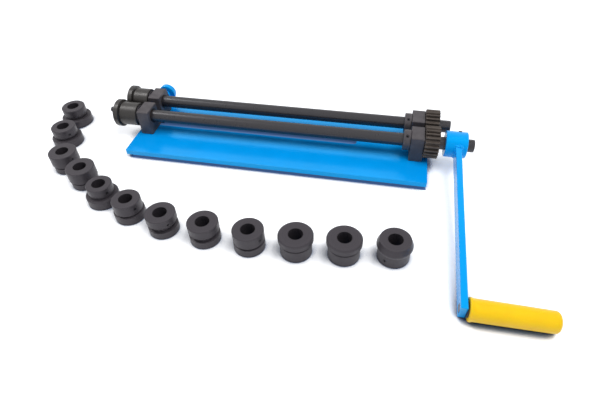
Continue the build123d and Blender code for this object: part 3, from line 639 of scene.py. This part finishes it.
@dataclass(frozen=True)
class MouldedPlastic(Finish):
    """Smooth moulded plastic with a faint ripple, which lets a little light through."""

    specular: float = 0.35
    shades: tuple[float, float] = (0.96, 1.02)
    shade_scale: float = 26.0
    gloss_scale: float = 90.0
    relief_depth: float = 0.08 * MM
    relief_scale: float = 240.0
    pit_shade: float = 0.45
    pit_scale: float = 650.0
    pit_amount: float = 0.25
    scatter: float = 0.2
    scatter_reach: tuple[float, float, float] = (1.0, 0.35, 0.05)
    scatter_depth: float = 3.0 * MM

    def build(self, effects: Effects) -> Material:
        """Make the plastic's material.

        Args:
            effects: The shared shader groups.

        Returns:
            The material.
        """
        canvas = self.start()
        canvas.wire("Subsurface Weight", self.scatter)
        canvas.wire("Subsurface Radius", self.scatter_reach)
        canvas.wire("Subsurface Scale", self.scatter_depth)
        pits = canvas.effect(effects.specks, Scale=self.pit_scale, Amount=self.pit_amount)
        pitted = mixed(canvas.tree, pits.outputs["Mask"], self.mottled(canvas, effects),
                       scaled(self.colour, self.pit_shade))
        ripple = canvas.effect(effects.orange_peel, Scale=self.relief_scale)
        return self.complete(canvas, effects, pitted, ripple.outputs["Height"])


STEADY_SHADES = (0.93, 1.07)
BLUE = Enamel("blue_enamel", Slot.ENAMEL, srgb("009bed"), 0.20)
BLACK = OiledSteel("black_oxide", Slot.BLACK, srgb("524e50"), 0.42, 0.15)
FASTENER = OiledSteel("dark_fastener", Slot.FASTENER, srgb("3a383c"), 0.38, 0.3)
PLATE_STEEL = OiledSteel("dark_end_plate", Slot.FASTENER, srgb("3c3836"), 0.40, 0.2)
# The gear's lighter brown edges are partly worn steel and partly a painted highlight on the
# teeth.
GEAR_STEEL = OiledSteel("milled_gear_steel", Slot.GEAR, srgb("544c46"), 0.42, 0.15,
                        wear_and_highlight_colour=(0.19, 0.165, 0.135), edge_amount=0.9)
DIE_STEEL = TurnedSteel("turned_die_steel", Slot.TOOL, srgb("454145"), 0.40, 0.2,
                        bore=11.6 * MM)
ROLLER_STEEL = TurnedSteel("turned_roller_steel", Slot.TOOL, srgb("322f2d"), 0.36, 0.3,
                           specular=0.6, shades=STEADY_SHADES, relief=0.0,
                           axis=Axis.ALONG_SHAFT)
SHAFT_STEEL = TurnedSteel("turned_shaft_steel", Slot.SHAFT, srgb("353336"), 0.31, 0.3,
                          specular=0.6, shades=STEADY_SHADES, relief=0.0,
                          axis=Axis.ALONG_SHAFT)
BRONZE = TurnedSteel("oil_soaked_bronze", Slot.BUSH, srgb("33291f"), 0.40, 0.5,
                     axis=Axis.ALONG_SHAFT)
BRIGHT = TurnedSteel("ground_bearing_steel", Slot.BEARING, srgb("5c5c5e"), 0.30, 0.9,
                     axis=Axis.ALONG_SHAFT)
YELLOW = MouldedPlastic("yellow_grip_plastic", Slot.GRIP, srgb("fccc08"), 0.34)


# --------------------------------------------------------------------------- mesh helpers


def placed(name: str, data: bpy.types.ID) -> Piece:
    """Put an object with its data into the scene."""
    thing = bpy.data.objects.new(name, data)
    bpy.context.scene.collection.objects.link(thing)
    return thing


def smoothed(shape: Shape) -> None:
    """Shade the faces smoothly, with sharp edges kept.

    Args:
        shape: The shape to mark.
    """
    for face in shape.faces:
        face.smooth = True
    for edge in shape.edges:
        edge.smooth = not (edge.is_manifold and edge.calc_face_angle(0.0) > SMOOTH_ANGLE)


def rounded(piece: Piece, width: float, segments: int = 2) -> None:
    """Round a piece's sharp edges.

    Args:
        piece: The piece.
        width: The width of the rounding, in metres.
        segments: The number of faces across the rounding.
    """
    rounding = piece.modifiers.new("rounded_edges", "BEVEL")
    rounding.width = width
    rounding.segments = segments
    rounding.limit_method = "ANGLE"
    rounding.angle_limit = SMOOTH_ANGLE
    rounding.harden_normals = True
    rounding.use_clamp_overlap = True


def refined(node: str, width: float, segments: int = 2) -> Piece:
    """Copy a CAD node, merge it, and round its sharp edges.

    Args:
        node: The CAD node's name.
        width: The width of the rounding, in metres.
        segments: The number of faces across the rounding.

    Returns:
        The new piece, which rides on the node's body and stands for it.
    """
    source = frame["nodes"][node]
    mesh = source.data.copy()
    mesh.name = node + "_shape"
    mesh.materials.clear()
    shape = bmesh.new()
    shape.from_mesh(mesh)
    bmesh.ops.remove_doubles(shape, verts=shape.verts, dist=MERGE_DISTANCE)
    bmesh.ops.dissolve_limit(shape, angle_limit=FLAT_ANGLE, verts=shape.verts, edges=shape.edges)
    smoothed(shape)
    shape.to_mesh(mesh)
    shape.free()
    piece = placed(node + "_piece", mesh)
    rounded(piece, width, segments)
    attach(piece, source["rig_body"])
    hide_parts(node)
    return piece


def made(shape: Shape, name: str, carrier: str) -> Piece:
    """Turn a finished shape into a piece that rides with a CAD node.

    Args:
        shape: The shape, which is freed.
        name: The piece's name.
        carrier: The CAD node whose body it rides on.

    Returns:
        The piece.
    """
    bmesh.ops.remove_doubles(shape, verts=shape.verts, dist=MERGE_DISTANCE)
    bmesh.ops.recalc_face_normals(shape, faces=shape.faces)
    smoothed(shape)
    mesh = bpy.data.meshes.new(name)
    shape.to_mesh(mesh)
    shape.free()
    piece = placed(name, mesh)
    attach(piece, frame["nodes"][carrier]["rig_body"])
    return piece


def spun(outline: list[tuple[float, float]], axis: Axis, start: Vector, steps: int = 96,
         angle: float = 2 * math.pi, rise: float = 0.0) -> Shape:
    """Turn a closed outline about an axis, or wind it along the axis.

    Args:
        outline: Pairs of radius and distance along the axis, in metres.
        axis: The way the axis runs.
        start: The point where the distance is 0.
        steps: The number of faces around.
        angle: How far the outline turns, in radians.
        rise: How far it moves along the axis at each step.

    Returns:
        The turned shape, which is closed on itself where the outline doesn't rise.
    """
    shape = bmesh.new()
    chain = [shape.verts.new((radius, 0.0, along)) for radius, along in outline]
    for here, there in zip(chain, chain[1:] + chain[:1]):
        shape.edges.new((here, there))
    bmesh.ops.spin(shape, geom=shape.verts[:] + shape.edges[:], cent=(0, 0, 0), axis=(0, 0, 1),
                   dvec=(0, 0, rise), angle=angle, steps=steps, use_merge=rise == 0.0)
    turn = Euler(axis.value).to_matrix().inverted().to_4x4()
    bmesh.ops.transform(shape, matrix=Matrix.Translation(start) @ turn, verts=shape.verts)
    return shape


def stance(place: Vector, along: Vector, across: Vector, radius: float) -> Matrix:
    """Return the matrix that puts a unit ring at a place on a path.

    Args:
        place: The ring's centre.
        along: The path's direction there.
        across: A direction that the path never takes.
        radius: The ring's radius.

    Returns:
        The matrix.
    """
    side = across.cross(along).normalized()
    up = along.normalized().cross(side)
    turn = Matrix((side, up, along.normalized())).transposed().to_4x4()
    return Matrix.Translation(place) @ turn @ Matrix.Scale(radius, 4)


def swept(path: list[tuple[Vector, float]], across: Vector, closed: bool,
          sides: int = 10) -> Shape:
    """Draw a ring of changing size along a path.

    Args:
        path: Pairs of place and radius.
        across: A direction that the path never takes.
        closed: Whether the path ends where it starts.
        sides: The number of faces around.

    Returns:
        The swept shape.
    """
    shape = bmesh.new()
    ring = bmesh.ops.create_circle(shape, segments=sides, radius=1.0)["verts"]
    here = Matrix.Identity(4)
    last = len(path) - 1
    for step, (place, radius) in enumerate(path):
        if closed:
            # The last place of a closed path is the first one again.
            before, after = path[step - 1 if step else last - 1], path[step % last + 1]
        else:
            before, after = path[max(step - 1, 0)], path[min(step + 1, last)]
        there = stance(place, after[0] - before[0], across, radius)
        if step:
            edges = {edge for vert in ring for edge in vert.link_edges
                     if all(end in ring for end in edge.verts)}
            grown = bmesh.ops.extrude_edge_only(shape, edges=list(edges))["geom"]
            ring = [item for item in grown if isinstance(item, bmesh.types.BMVert)]
        bmesh.ops.transform(shape, matrix=there @ here.inverted(), verts=ring)
        here = there
    if not closed:
        bmesh.ops.holes_fill(shape, edges=shape.edges)
    return shape


def rippled(places: list[Vector], radius: float, ripple: float) -> list[tuple[Vector, float]]:
    """Give a weld's path the uneven width that the welder's steps leave.

    Args:
        places: The points of the path.
        radius: The bead's usual radius.
        ripple: The share by which it swells and shrinks.

    Returns:
        Pairs of place and radius.
    """
    path = []
    for step, place in enumerate(places):
        swell = math.sin(WELD_WAVE * step) + WELD_DRIFT_SHARE * math.sin(WELD_DRIFT * step)
        path.append((place, radius * (1 + ripple * swell)))
    return path


def centre_of(node: str) -> Vector:
    """Return the middle of a CAD node's box."""
    low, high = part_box(node)
    return (low + high) / 2


@dataclass
class Workshop:
    """Builds each finish once and dresses pieces in them."""

    effects: Effects

    def __post_init__(self) -> None:
        """Build the finishes that have no axis."""
        self.plain = {
            finish.name: finish.build(self.effects)
            for finish in (BLUE, BLACK, FASTENER, PLATE_STEEL, GEAR_STEEL, YELLOW)
        }

    def dress(self, piece: Piece, material: Material) -> None:
        """Give a piece its material.

        Args:
            piece: The piece to dress.
            material: Its finish.
        """
        piece.data.materials.clear()
        piece.data.materials.append(material)
        LOG.info("%s dressed in %s", piece.name, material.name)

    def paint(self, piece: Piece, finish: Finish) -> None:
        """Dress a piece in a finish that has no axis."""
        self.dress(piece, self.plain[finish.name])

    def turn(self, piece: Piece, finish: TurnedSteel, centre: Vector) -> None:
        """Dress a turned piece in steel with rings about its own axis."""
        self.dress(piece, finish.build(self.effects, centre))

    def coat(self, finish: Finish, width: float, *nodes: str, segments: int = 2) -> None:
        """Refine CAD nodes and dress them in a finish that has no axis.

        Args:
            finish: The finish.
            width: The width of the rounding, in metres.
            nodes: The CAD nodes' names.
            segments: The number of faces across the rounding.
        """
        for node in nodes:
            self.paint(refined(node, width, segments), finish)


# --------------------------------------------------------------------------- sub-assemblies


@dataclass
class FramePlate:
    """The slotted plate and the lug that is welded to it."""

    shop: Workshop
    rounding: float = 1.2 * MM
    lug_rounding: float = 0.6 * MM
    weld_radius: float = 1.7 * MM
    weld_ripple: float = 0.14
    weld_steps: int = 26

    def build(self) -> None:
        """Build the plate, the lug and the lug's weld."""
        self.shop.coat(BLUE, self.rounding, "frame_plate", segments=3)
        self.shop.coat(BLUE, self.lug_rounding, "adjuster_lug")
        self.weld()

    def weld(self) -> None:
        """Lay a bead along each foot of the lug."""
        low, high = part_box("adjuster_lug")
        for name, across in (("front", low.y), ("rear", high.y)):
            places = [
                Vector((low.x + (high.x - low.x) * step / self.weld_steps, across, low.z))
                for step in range(self.weld_steps + 1)
            ]
            path = rippled(places, self.weld_radius, self.weld_ripple)
            bead = made(swept(path, Vector((0, 0, 1)), False), "lug_weld_" + name, "adjuster_lug")
            self.shop.paint(bead, BLUE)


@dataclass
class BearingBlocks:
    """The four blocks that carry the shafts, with their bushes, bolts and washers."""

    shop: Workshop
    rounding: float = 0.35 * MM
    small_rounding: float = 0.2 * MM

    def build(self) -> None:
        """Build the blocks, the bushes and their fastenings."""
        self.shop.coat(BLACK, self.rounding, "lower_die_block", "lower_gear_block",
                       "upper_gear_block", "upper_die_block")
        for node in ("lower_die_bush", "lower_gear_bush", "upper_die_bush"):
            self.shop.turn(refined(node, self.small_rounding), BRONZE, centre_of(node))
        self.shop.turn(refined("swivel_bush", self.small_rounding), BRIGHT,
                       centre_of("swivel_bush"))
        self.shop.coat(FASTENER, self.small_rounding, "block_bolts", "block_washers",
                       "slide_bolts", "slide_washers")


@dataclass
class Adjuster:
    """The keeper on the sliding block and the screw, knob and nut that move it."""

    shop: Workshop
    rounding: float = 0.3 * MM
    knob_rounding: float = 0.9 * MM
    rod_steps: int = 64
    disc_chamfer: float = 0.3 * MM
    disc_play: float = 0.1 * MM
    neck_radius: float = 2.9 * MM
    neck_play: float = 0.08 * MM
    tip_chamfer: float = 0.8 * MM
    thread_crest: float = 5.9 * MM
    thread_root: float = 5.0 * MM
    thread_sink: float = 0.1 * MM
    thread_lead: float = 0.3 * MM
    thread_pitch: float = 1.75 * MM
    foot_share: float = 0.84
    crest_share: float = 0.15
    steps_per_turn: int = 24

    def build(self) -> None:
        """Build the keeper, the screw with its thread, the knob and the nut."""
        self.shop.coat(BLACK, self.rounding, "adjuster_keeper")
        self.shop.coat(FASTENER, self.rounding, "keeper_screws", "knob_nut")
        self.shop.coat(BLUE, self.knob_rounding, "adjuster_knob", segments=3)
        self.screw()

    def screw(self) -> None:
        """Build the screw: a turned rod with a disc and neck, and a thread wound on it."""
        low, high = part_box("adjuster_screw")
        keeper_low, keeper_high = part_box("adjuster_keeper")
        centre = centre_of("adjuster_screw")
        start = Vector((centre.x, low.y, centre.z))
        length = high.y - low.y
        rim = (high.x - low.x) / 2
        disc_end = keeper_low.y - low.y - self.disc_play
        neck_end = keeper_high.y - low.y + self.neck_play
        thread_end = length - self.tip_chamfer
        outline = [
            (0.0, 0.0), (rim - self.disc_chamfer, 0.0), (rim, self.disc_chamfer),
            (rim, disc_end), (self.neck_radius, disc_end), (self.neck_radius, neck_end),
            (self.thread_root, neck_end), (self.thread_root, thread_end),
            (self.thread_root - self.tip_chamfer, length), (0.0, length),
        ]
        rod = made(spun(outline, Axis.ACROSS, start, self.rod_steps), "adjuster_screw_rod",
                   "adjuster_screw")
        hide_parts("adjuster_screw")
        thread = made(self.winding(start, neck_end + self.thread_lead, thread_end),
                      "adjuster_screw_thread", "adjuster_screw")
        for piece in (rod, thread):
            self.shop.paint(piece, FASTENER)

    def winding(self, start: Vector, first: float, last: float) -> Shape:
        """Wind a ridge around the screw.

        Args:
            start: The screw's inner end.
            first: Where the thread starts, from that end.
            last: Where it stops.

        Returns:
            The ridge.
        """
        foot = self.thread_root - self.thread_sink
        half = self.thread_pitch * self.foot_share / 2
        top = half * self.crest_share
        middle = first + half
        corners = [(foot, middle - half), (foot, middle + half),
                   (self.thread_crest, middle + top), (self.thread_crest, middle - top)]
        turns = (last - first - 2 * half) / self.thread_pitch
        steps = round(turns * self.steps_per_turn)
        shape = spun(corners, Axis.ACROSS, start, steps,
                     angle=2 * math.pi * steps / self.steps_per_turn,
                     rise=self.thread_pitch / self.steps_per_turn)
        bmesh.ops.holes_fill(shape, edges=shape.edges)
        return shape


class Side(Enum):
    """The two arbors."""

    LOWER = "lower"
    UPPER = "upper"


@dataclass
class Arbor:
    """One shaft and all that turns with it, without the crank."""

    shop: Workshop
    side: Side
    roller_rounding: float = 0.7 * MM
    collar_rounding: float = 0.35 * MM
    tooth_rounding: float = 0.22 * MM
    small_rounding: float = 0.25 * MM

    def build(self) -> None:
        """Build the shaft, the roller, the gear, the collar and their fastenings."""
        name = self.side.value + "_"
        centre = centre_of(name + "shaft")
        self.shop.turn(refined(name + "shaft", self.small_rounding), SHAFT_STEEL, centre)
        self.shop.turn(refined(name + "roller", self.roller_rounding, 3), ROLLER_STEEL, centre)
        self.shop.coat(BLACK, self.collar_rounding, name + "collar")
        self.shop.coat(GEAR_STEEL, self.tooth_rounding, name + "gear")
        self.shop.coat(PLATE_STEEL, self.small_rounding, name + "end_plate")
        self.shop.coat(FASTENER, self.small_rounding, name + "gear_key", name + "spacer_ring",
                       name + "set_screws", name + "end_screws")


@dataclass
class Crank:
    """The hub, the arm, their weld, the pin and the grip that spins on it."""

    shop: Workshop
    rounding: float = 0.9 * MM
    small_rounding: float = 0.3 * MM
    weld_radius: float = 1.9 * MM
    outer_weld_radius: float = 3.3 * MM
    weld_ripple: float = 0.16
    weld_step: float = 1.1 * MM
    weld_half_width: float = 12.5 * MM
    grip_bore: float = 4.08 * MM
    grip_pocket_radius: float = 8.0 * MM
    grip_pocket_depth: float = 12.0 * MM
    grip_lip_radius: float = 16.2 * MM
    grip_root_radius: float = 15.3 * MM
    grip_tip_radius: float = 14.5 * MM
    grip_belly: float = 0.1 * MM
    grip_end_round: float = 6.0 * MM
    grip_end_steps: int = 6
    # Steps of the flare, as pairs of height over the lip's or the root's radius and distance.
    grip_lip: tuple[tuple[float, float], ...] = (
        (-1.4 * MM, 0.0), (-0.5 * MM, 0.3 * MM), (0.0, 1.0 * MM), (0.0, 2.6 * MM),
        (-0.25 * MM, 3.5 * MM))
    grip_root: tuple[tuple[float, float], ...] = (
        (0.2 * MM, 4.9 * MM), (0.0, 6.4 * MM), (-0.04 * MM, 9.0 * MM))

    def build(self) -> None:
        """Build the crank from its hub to its grip."""
        self.shop.coat(BLUE, self.rounding, "crank_hub", "crank_arm", segments=3)
        self.weld()
        self.shop.coat(FASTENER, self.small_rounding, "grip_washer")
        self.shop.turn(refined("grip_pin", self.small_rounding), BRIGHT, centre_of("grip_pin"))
        self.grip()

    def weld(self) -> None:
        """Lay a bead round the arm's root, thicker towards the crank's outer side."""
        arm_low, arm_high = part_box("crank_arm")
        reach = centre_of("grip_pin") - centre_of("crank_hub")
        reach.x = 0.0
        down = reach.normalized()
        gain = (self.outer_weld_radius / self.weld_radius - 1) / (arm_high.x - arm_low.x)
        path = [
            (place, radius * (1 + gain * (place.x - arm_low.x)))
            for place, radius in rippled(self.seam(down), self.weld_radius, self.weld_ripple)
        ]
        bead = made(swept(path + path[:1], down, True), "crank_weld", "crank_arm")
        self.shop.paint(bead, BLUE)

    def seam(self, down: Vector) -> list[Vector]:
        """Follow the arm's root round on the hub's face.

        Args:
            down: The way the arm leaves the hub's axis.

        Returns:
            The points of the way round, without the first one again.
        """
        hub_low, hub_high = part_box("crank_hub")
        arm_low, arm_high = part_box("crank_arm")
        hub = centre_of("crank_hub")
        radius = (hub_high.y - hub_low.y) / 2
        aside = Vector((1, 0, 0)).cross(down)
        swing = math.asin(self.weld_half_width / radius)
        arc_steps = round(2 * swing * radius / self.weld_step)
        side_steps = round((arm_high.x - arm_low.x) / self.weld_step)

        def on_hub(across: float, angle: float) -> Vector:
            """Return the point of the hub's face at a distance along it and an angle."""
            spot = hub + radius * (math.cos(angle) * down + math.sin(angle) * aside)
            return Vector((across, spot.y, spot.z))

        places = []
        for face, far, way in ((arm_high.x, arm_low.x, 1), (arm_low.x, arm_high.x, -1)):
            for step in range(arc_steps):
                places.append(on_hub(face, way * swing * (2 * step / arc_steps - 1)))
            for step in range(side_steps):
                places.append(on_hub(face + (far - face) * step / side_steps, way * swing))
        return places

    def grip(self) -> None:
        """Turn the moulded grip with its flared lip and rounded end."""
        low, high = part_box("crank_grip")
        start = Vector((low.x, (low.y + high.y) / 2, (low.z + high.z) / 2))
        length = high.x - low.x
        root, tip, bend = self.grip_root_radius, self.grip_tip_radius, self.grip_end_round
        pocket_end = length - self.grip_pocket_depth
        outline = [(self.grip_bore, 0.0)]
        outline += [(self.grip_lip_radius + over, along) for over, along in self.grip_lip]
        outline += [(root + over, along) for over, along in self.grip_root]
        outline += [((root + tip) / 2 + self.grip_belly, length / 2), (tip, length - bend)]
        for step in range(1, self.grip_end_steps + 1):
            angle = math.pi / 2 * step / self.grip_end_steps
            outline.append((tip - bend + bend * math.cos(angle),
                            length - bend + bend * math.sin(angle)))
        outline += [(self.grip_pocket_radius, length), (self.grip_pocket_radius, pocket_end),
                    (self.grip_bore, pocket_end)]
        grip = made(spun(outline, Axis.ALONG_SHAFT, start), "crank_grip_sleeve", "crank_grip")
        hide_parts("crank_grip")
        self.shop.paint(grip, YELLOW)


@dataclass
class LooseDies:
    """The row of loose forming dies on the floor, with their set screws."""

    shop: Workshop
    rounding: float = 0.55 * MM
    small_rounding: float = 0.15 * MM

    def build(self) -> None:
        """Build the dies and their screws."""
        for node in sorted(frame["nodes"]):
            if node.startswith("loose_die"):
                self.shop.turn(refined(node, self.rounding, 3), DIE_STEEL, centre_of(node))
        self.shop.coat(FASTENER, self.small_rounding, "die_set_screws")


# --------------------------------------------------------------------------- studio


@dataclass(frozen=True)
class Softbox:
    """A lamp with a wide soft face that points at the middle of the object."""

    name: str
    place: tuple[float, float, float]
    width: float
    depth: float
    power: float
    mirrored: bool

    def build(self) -> None:
        """Hang the lamp."""
        data = bpy.data.lights.new(self.name, "AREA")
        data.shape = "RECTANGLE"
        data.size = self.width
        data.size_y = self.depth
        data.energy = self.power
        lamp = placed(self.name, data)
        lamp.location = self.place
        lamp.rotation_euler = (-Vector(self.place)).to_track_quat("-Z", "Y").to_euler()
        lamp.visible_glossy = self.mirrored


SOFTBOXES = (
    Softbox("key_softbox", (1.05, -0.30, 2.75), 1.9, 1.15, 52.0, False),
    Softbox("side_softbox", (-1.5, 0.05, 1.9), 0.8, 0.7, 17.0, True),
)


@dataclass
class Studio:
    """Pale floor with painted shade, soft light and the camera."""

    floor_half: float = 4.0
    floor_colour: Colour = (0.90, 0.90, 0.90)
    # Painted shade: a dark blue laid on the floor under the plate and in creases beside the
    # object.
    painted_floor_shade: Colour = (0.07, 0.13, 0.26)
    floor_lift: float = 0.45
    # Painted shade under the plate: a dim blue glow in place of the floor's white lift.
    painted_under_plate_shade: Colour = (0.035, 0.07, 0.155)
    # Ambient occlusion that places the painted shade: its reach, how far the painted shadow stops
    # short of the plate's left end, and its samples.
    shade_reach: float = 0.03
    shade_inset: float = 8.0 * MM
    shade_samples: int = 8
    # Occlusion ranges over which the floor turns to the painted shade in creases, and over which
    # its white glow fades near the object as painted contact shade.
    painted_crease_limits: tuple[float, float] = (0.45, 0.62)
    lift_limits: tuple[float, float] = (0.48, 0.78)
    world_colour: Colour = (0.92, 0.97, 1.10)
    world_light: float = 0.40
    lens: float = 27.725
    sensor: float = 36.0
    clip: tuple[float, float] = (0.02, 50.0)
    from_plate_corner: tuple[float, float, float] = (0.46352, -0.60271, 0.52837)
    yaw: float = -0.22009
    pitch: float = 0.76595
    roll: float = -0.03375

    def build(self) -> None:
        """Build the floor, the lamps, the world and the camera."""
        self.floor()
        for lamp in SOFTBOXES:
            lamp.build()
        self.world()
        self.camera()

    def seen(self, tree: Tree) -> Socket:
        """Find where the camera sees a surface, also in metal and through glass.

        Args:
            tree: The material's or the world's tree.

        Returns:
            A socket that is 1 for such rays and 0 for those that only light the object.
        """
        rays = add_node(tree, "ShaderNodeLightPath")
        indirect = maths(tree, "MAXIMUM", rays.outputs["Is Glossy Ray"],
                         rays.outputs["Is Transmission Ray"])
        return maths(tree, "MAXIMUM", rays.outputs["Is Camera Ray"], indirect)

    def floor(self) -> None:
        """Lay the floor."""
        mesh = bpy.data.meshes.new("studio_floor")
        shape = bmesh.new()
        bmesh.ops.create_grid(shape, x_segments=1, y_segments=1, size=self.floor_half)
        shape.to_mesh(mesh)
        shape.free()
        mesh.materials.append(self.floor_paint())
        placed("studio_floor", mesh)

    def floor_paint(self) -> Material:
        """Make the floor's material, which looks white except in the object's shadow and where
        shade is painted on it.

        Returns:
            The material.
        """
        material = bpy.data.materials.new("pale_floor")
        material.use_nodes = True
        tree = material.node_tree
        shader = tree.nodes["Principled BSDF"]
        shader.inputs["Roughness"].default_value = 1.0
        shader.inputs["Specular IOR Level"].default_value = 0.0
        openness = add_node(tree, "ShaderNodeAmbientOcclusion", samples=self.shade_samples,
                            Distance=self.shade_reach).outputs["AO"]
        beside = self.outside_painted_plate_shadow(tree)
        # Painted shade: the floor turns dark blue in creases and under the plate.
        free_of_painted_shade = maths(tree, "MULTIPLY", ranged(tree, openness, *self.painted_crease_limits), beside)
        # The white glow fades near the object, which paints contact shade.
        lift = ranged(tree, openness, *self.lift_limits, To_Max=self.floor_lift)
        feed(tree, shader.inputs["Base Color"],
             mixed(tree, free_of_painted_shade, self.painted_floor_shade, self.floor_colour))
        # Under the plate the glow is the dim painted shade.
        feed(tree, shader.inputs["Emission Color"],
             mixed(tree, beside, self.painted_under_plate_shade, lift))
        feed(tree, shader.inputs["Emission Strength"], self.seen(tree))
        return material

    def outside_painted_plate_shadow(self, tree: Tree) -> Socket:
        """Tell the open floor from the floor that the plate covers, which gets painted shadow.

        Args:
            tree: The floor's tree.

        Returns:
            A socket that is 0 under the plate, also where its slot shows the floor, and 1 beside
            it.
        """
        low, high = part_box("frame_plate")
        place = add_node(tree, "ShaderNodeTexCoord").outputs["Object"]
        split = add_node(tree, "ShaderNodeSeparateXYZ", Vector=place)
        within = [
            maths(tree, "COMPARE", split.outputs[axis], (start + end) / 2, (end - start) / 2)
            for axis, start, end in (("X", low.x + self.shade_inset, high.x),
                                     ("Y", low.y, high.y))
        ]
        return maths(tree, "SUBTRACT", 1.0, maths(tree, "MULTIPLY", *within))

    def world(self) -> None:
        """Light the scene evenly, and show white where the camera sees past the floor."""
        world = bpy.data.worlds.new("studio_world")
        bpy.context.scene.world = world
        world.use_nodes = True
        tree = world.node_tree
        feed(tree, tree.nodes["Background"].inputs["Color"],
             mixed(tree, self.seen(tree), scaled(self.world_colour, self.world_light), WHITE))

    def camera(self) -> None:
        """Stand the camera where the picture is taken from."""
        data = bpy.data.cameras.new("studio_camera")
        data.lens = self.lens
        data.sensor_width = self.sensor
        data.sensor_fit = "HORIZONTAL"
        data.clip_start, data.clip_end = self.clip
        camera = placed("studio_camera", data)
        corner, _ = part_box("frame_plate")
        forward = Vector((math.sin(self.yaw) * math.cos(self.pitch),
                          math.cos(self.yaw) * math.cos(self.pitch), -math.sin(self.pitch)))
        right = Vector((math.cos(self.yaw), -math.sin(self.yaw), 0.0))
        up = right.cross(forward)
        turned_right = math.cos(self.roll) * right + math.sin(self.roll) * up
        turned_up = math.cos(self.roll) * up - math.sin(self.roll) * right
        axes = Matrix((turned_right, turned_up, -forward)).transposed().to_4x4()
        axes.translation = corner + Vector(self.from_plate_corner)
        camera.matrix_world = axes
        bpy.context.scene.camera = camera


def main() -> None:
    """Build the machine and the studio around it."""
    logging.basicConfig(level=logging.INFO, format="%(name)s: %(message)s")
    bpy.context.scene.view_settings.view_transform = "Standard"
    shop = Workshop(Effects())
    assemblies = [FramePlate(shop), BearingBlocks(shop), Adjuster(shop), Arbor(shop, Side.LOWER),
                  Arbor(shop, Side.UPPER), Crank(shop), LooseDies(shop)]
    for assembly in assemblies:
        assembly.build()
        LOG.info("%s built", type(assembly).__name__)
    Studio().build()


if __name__ == "__main__":
    main()
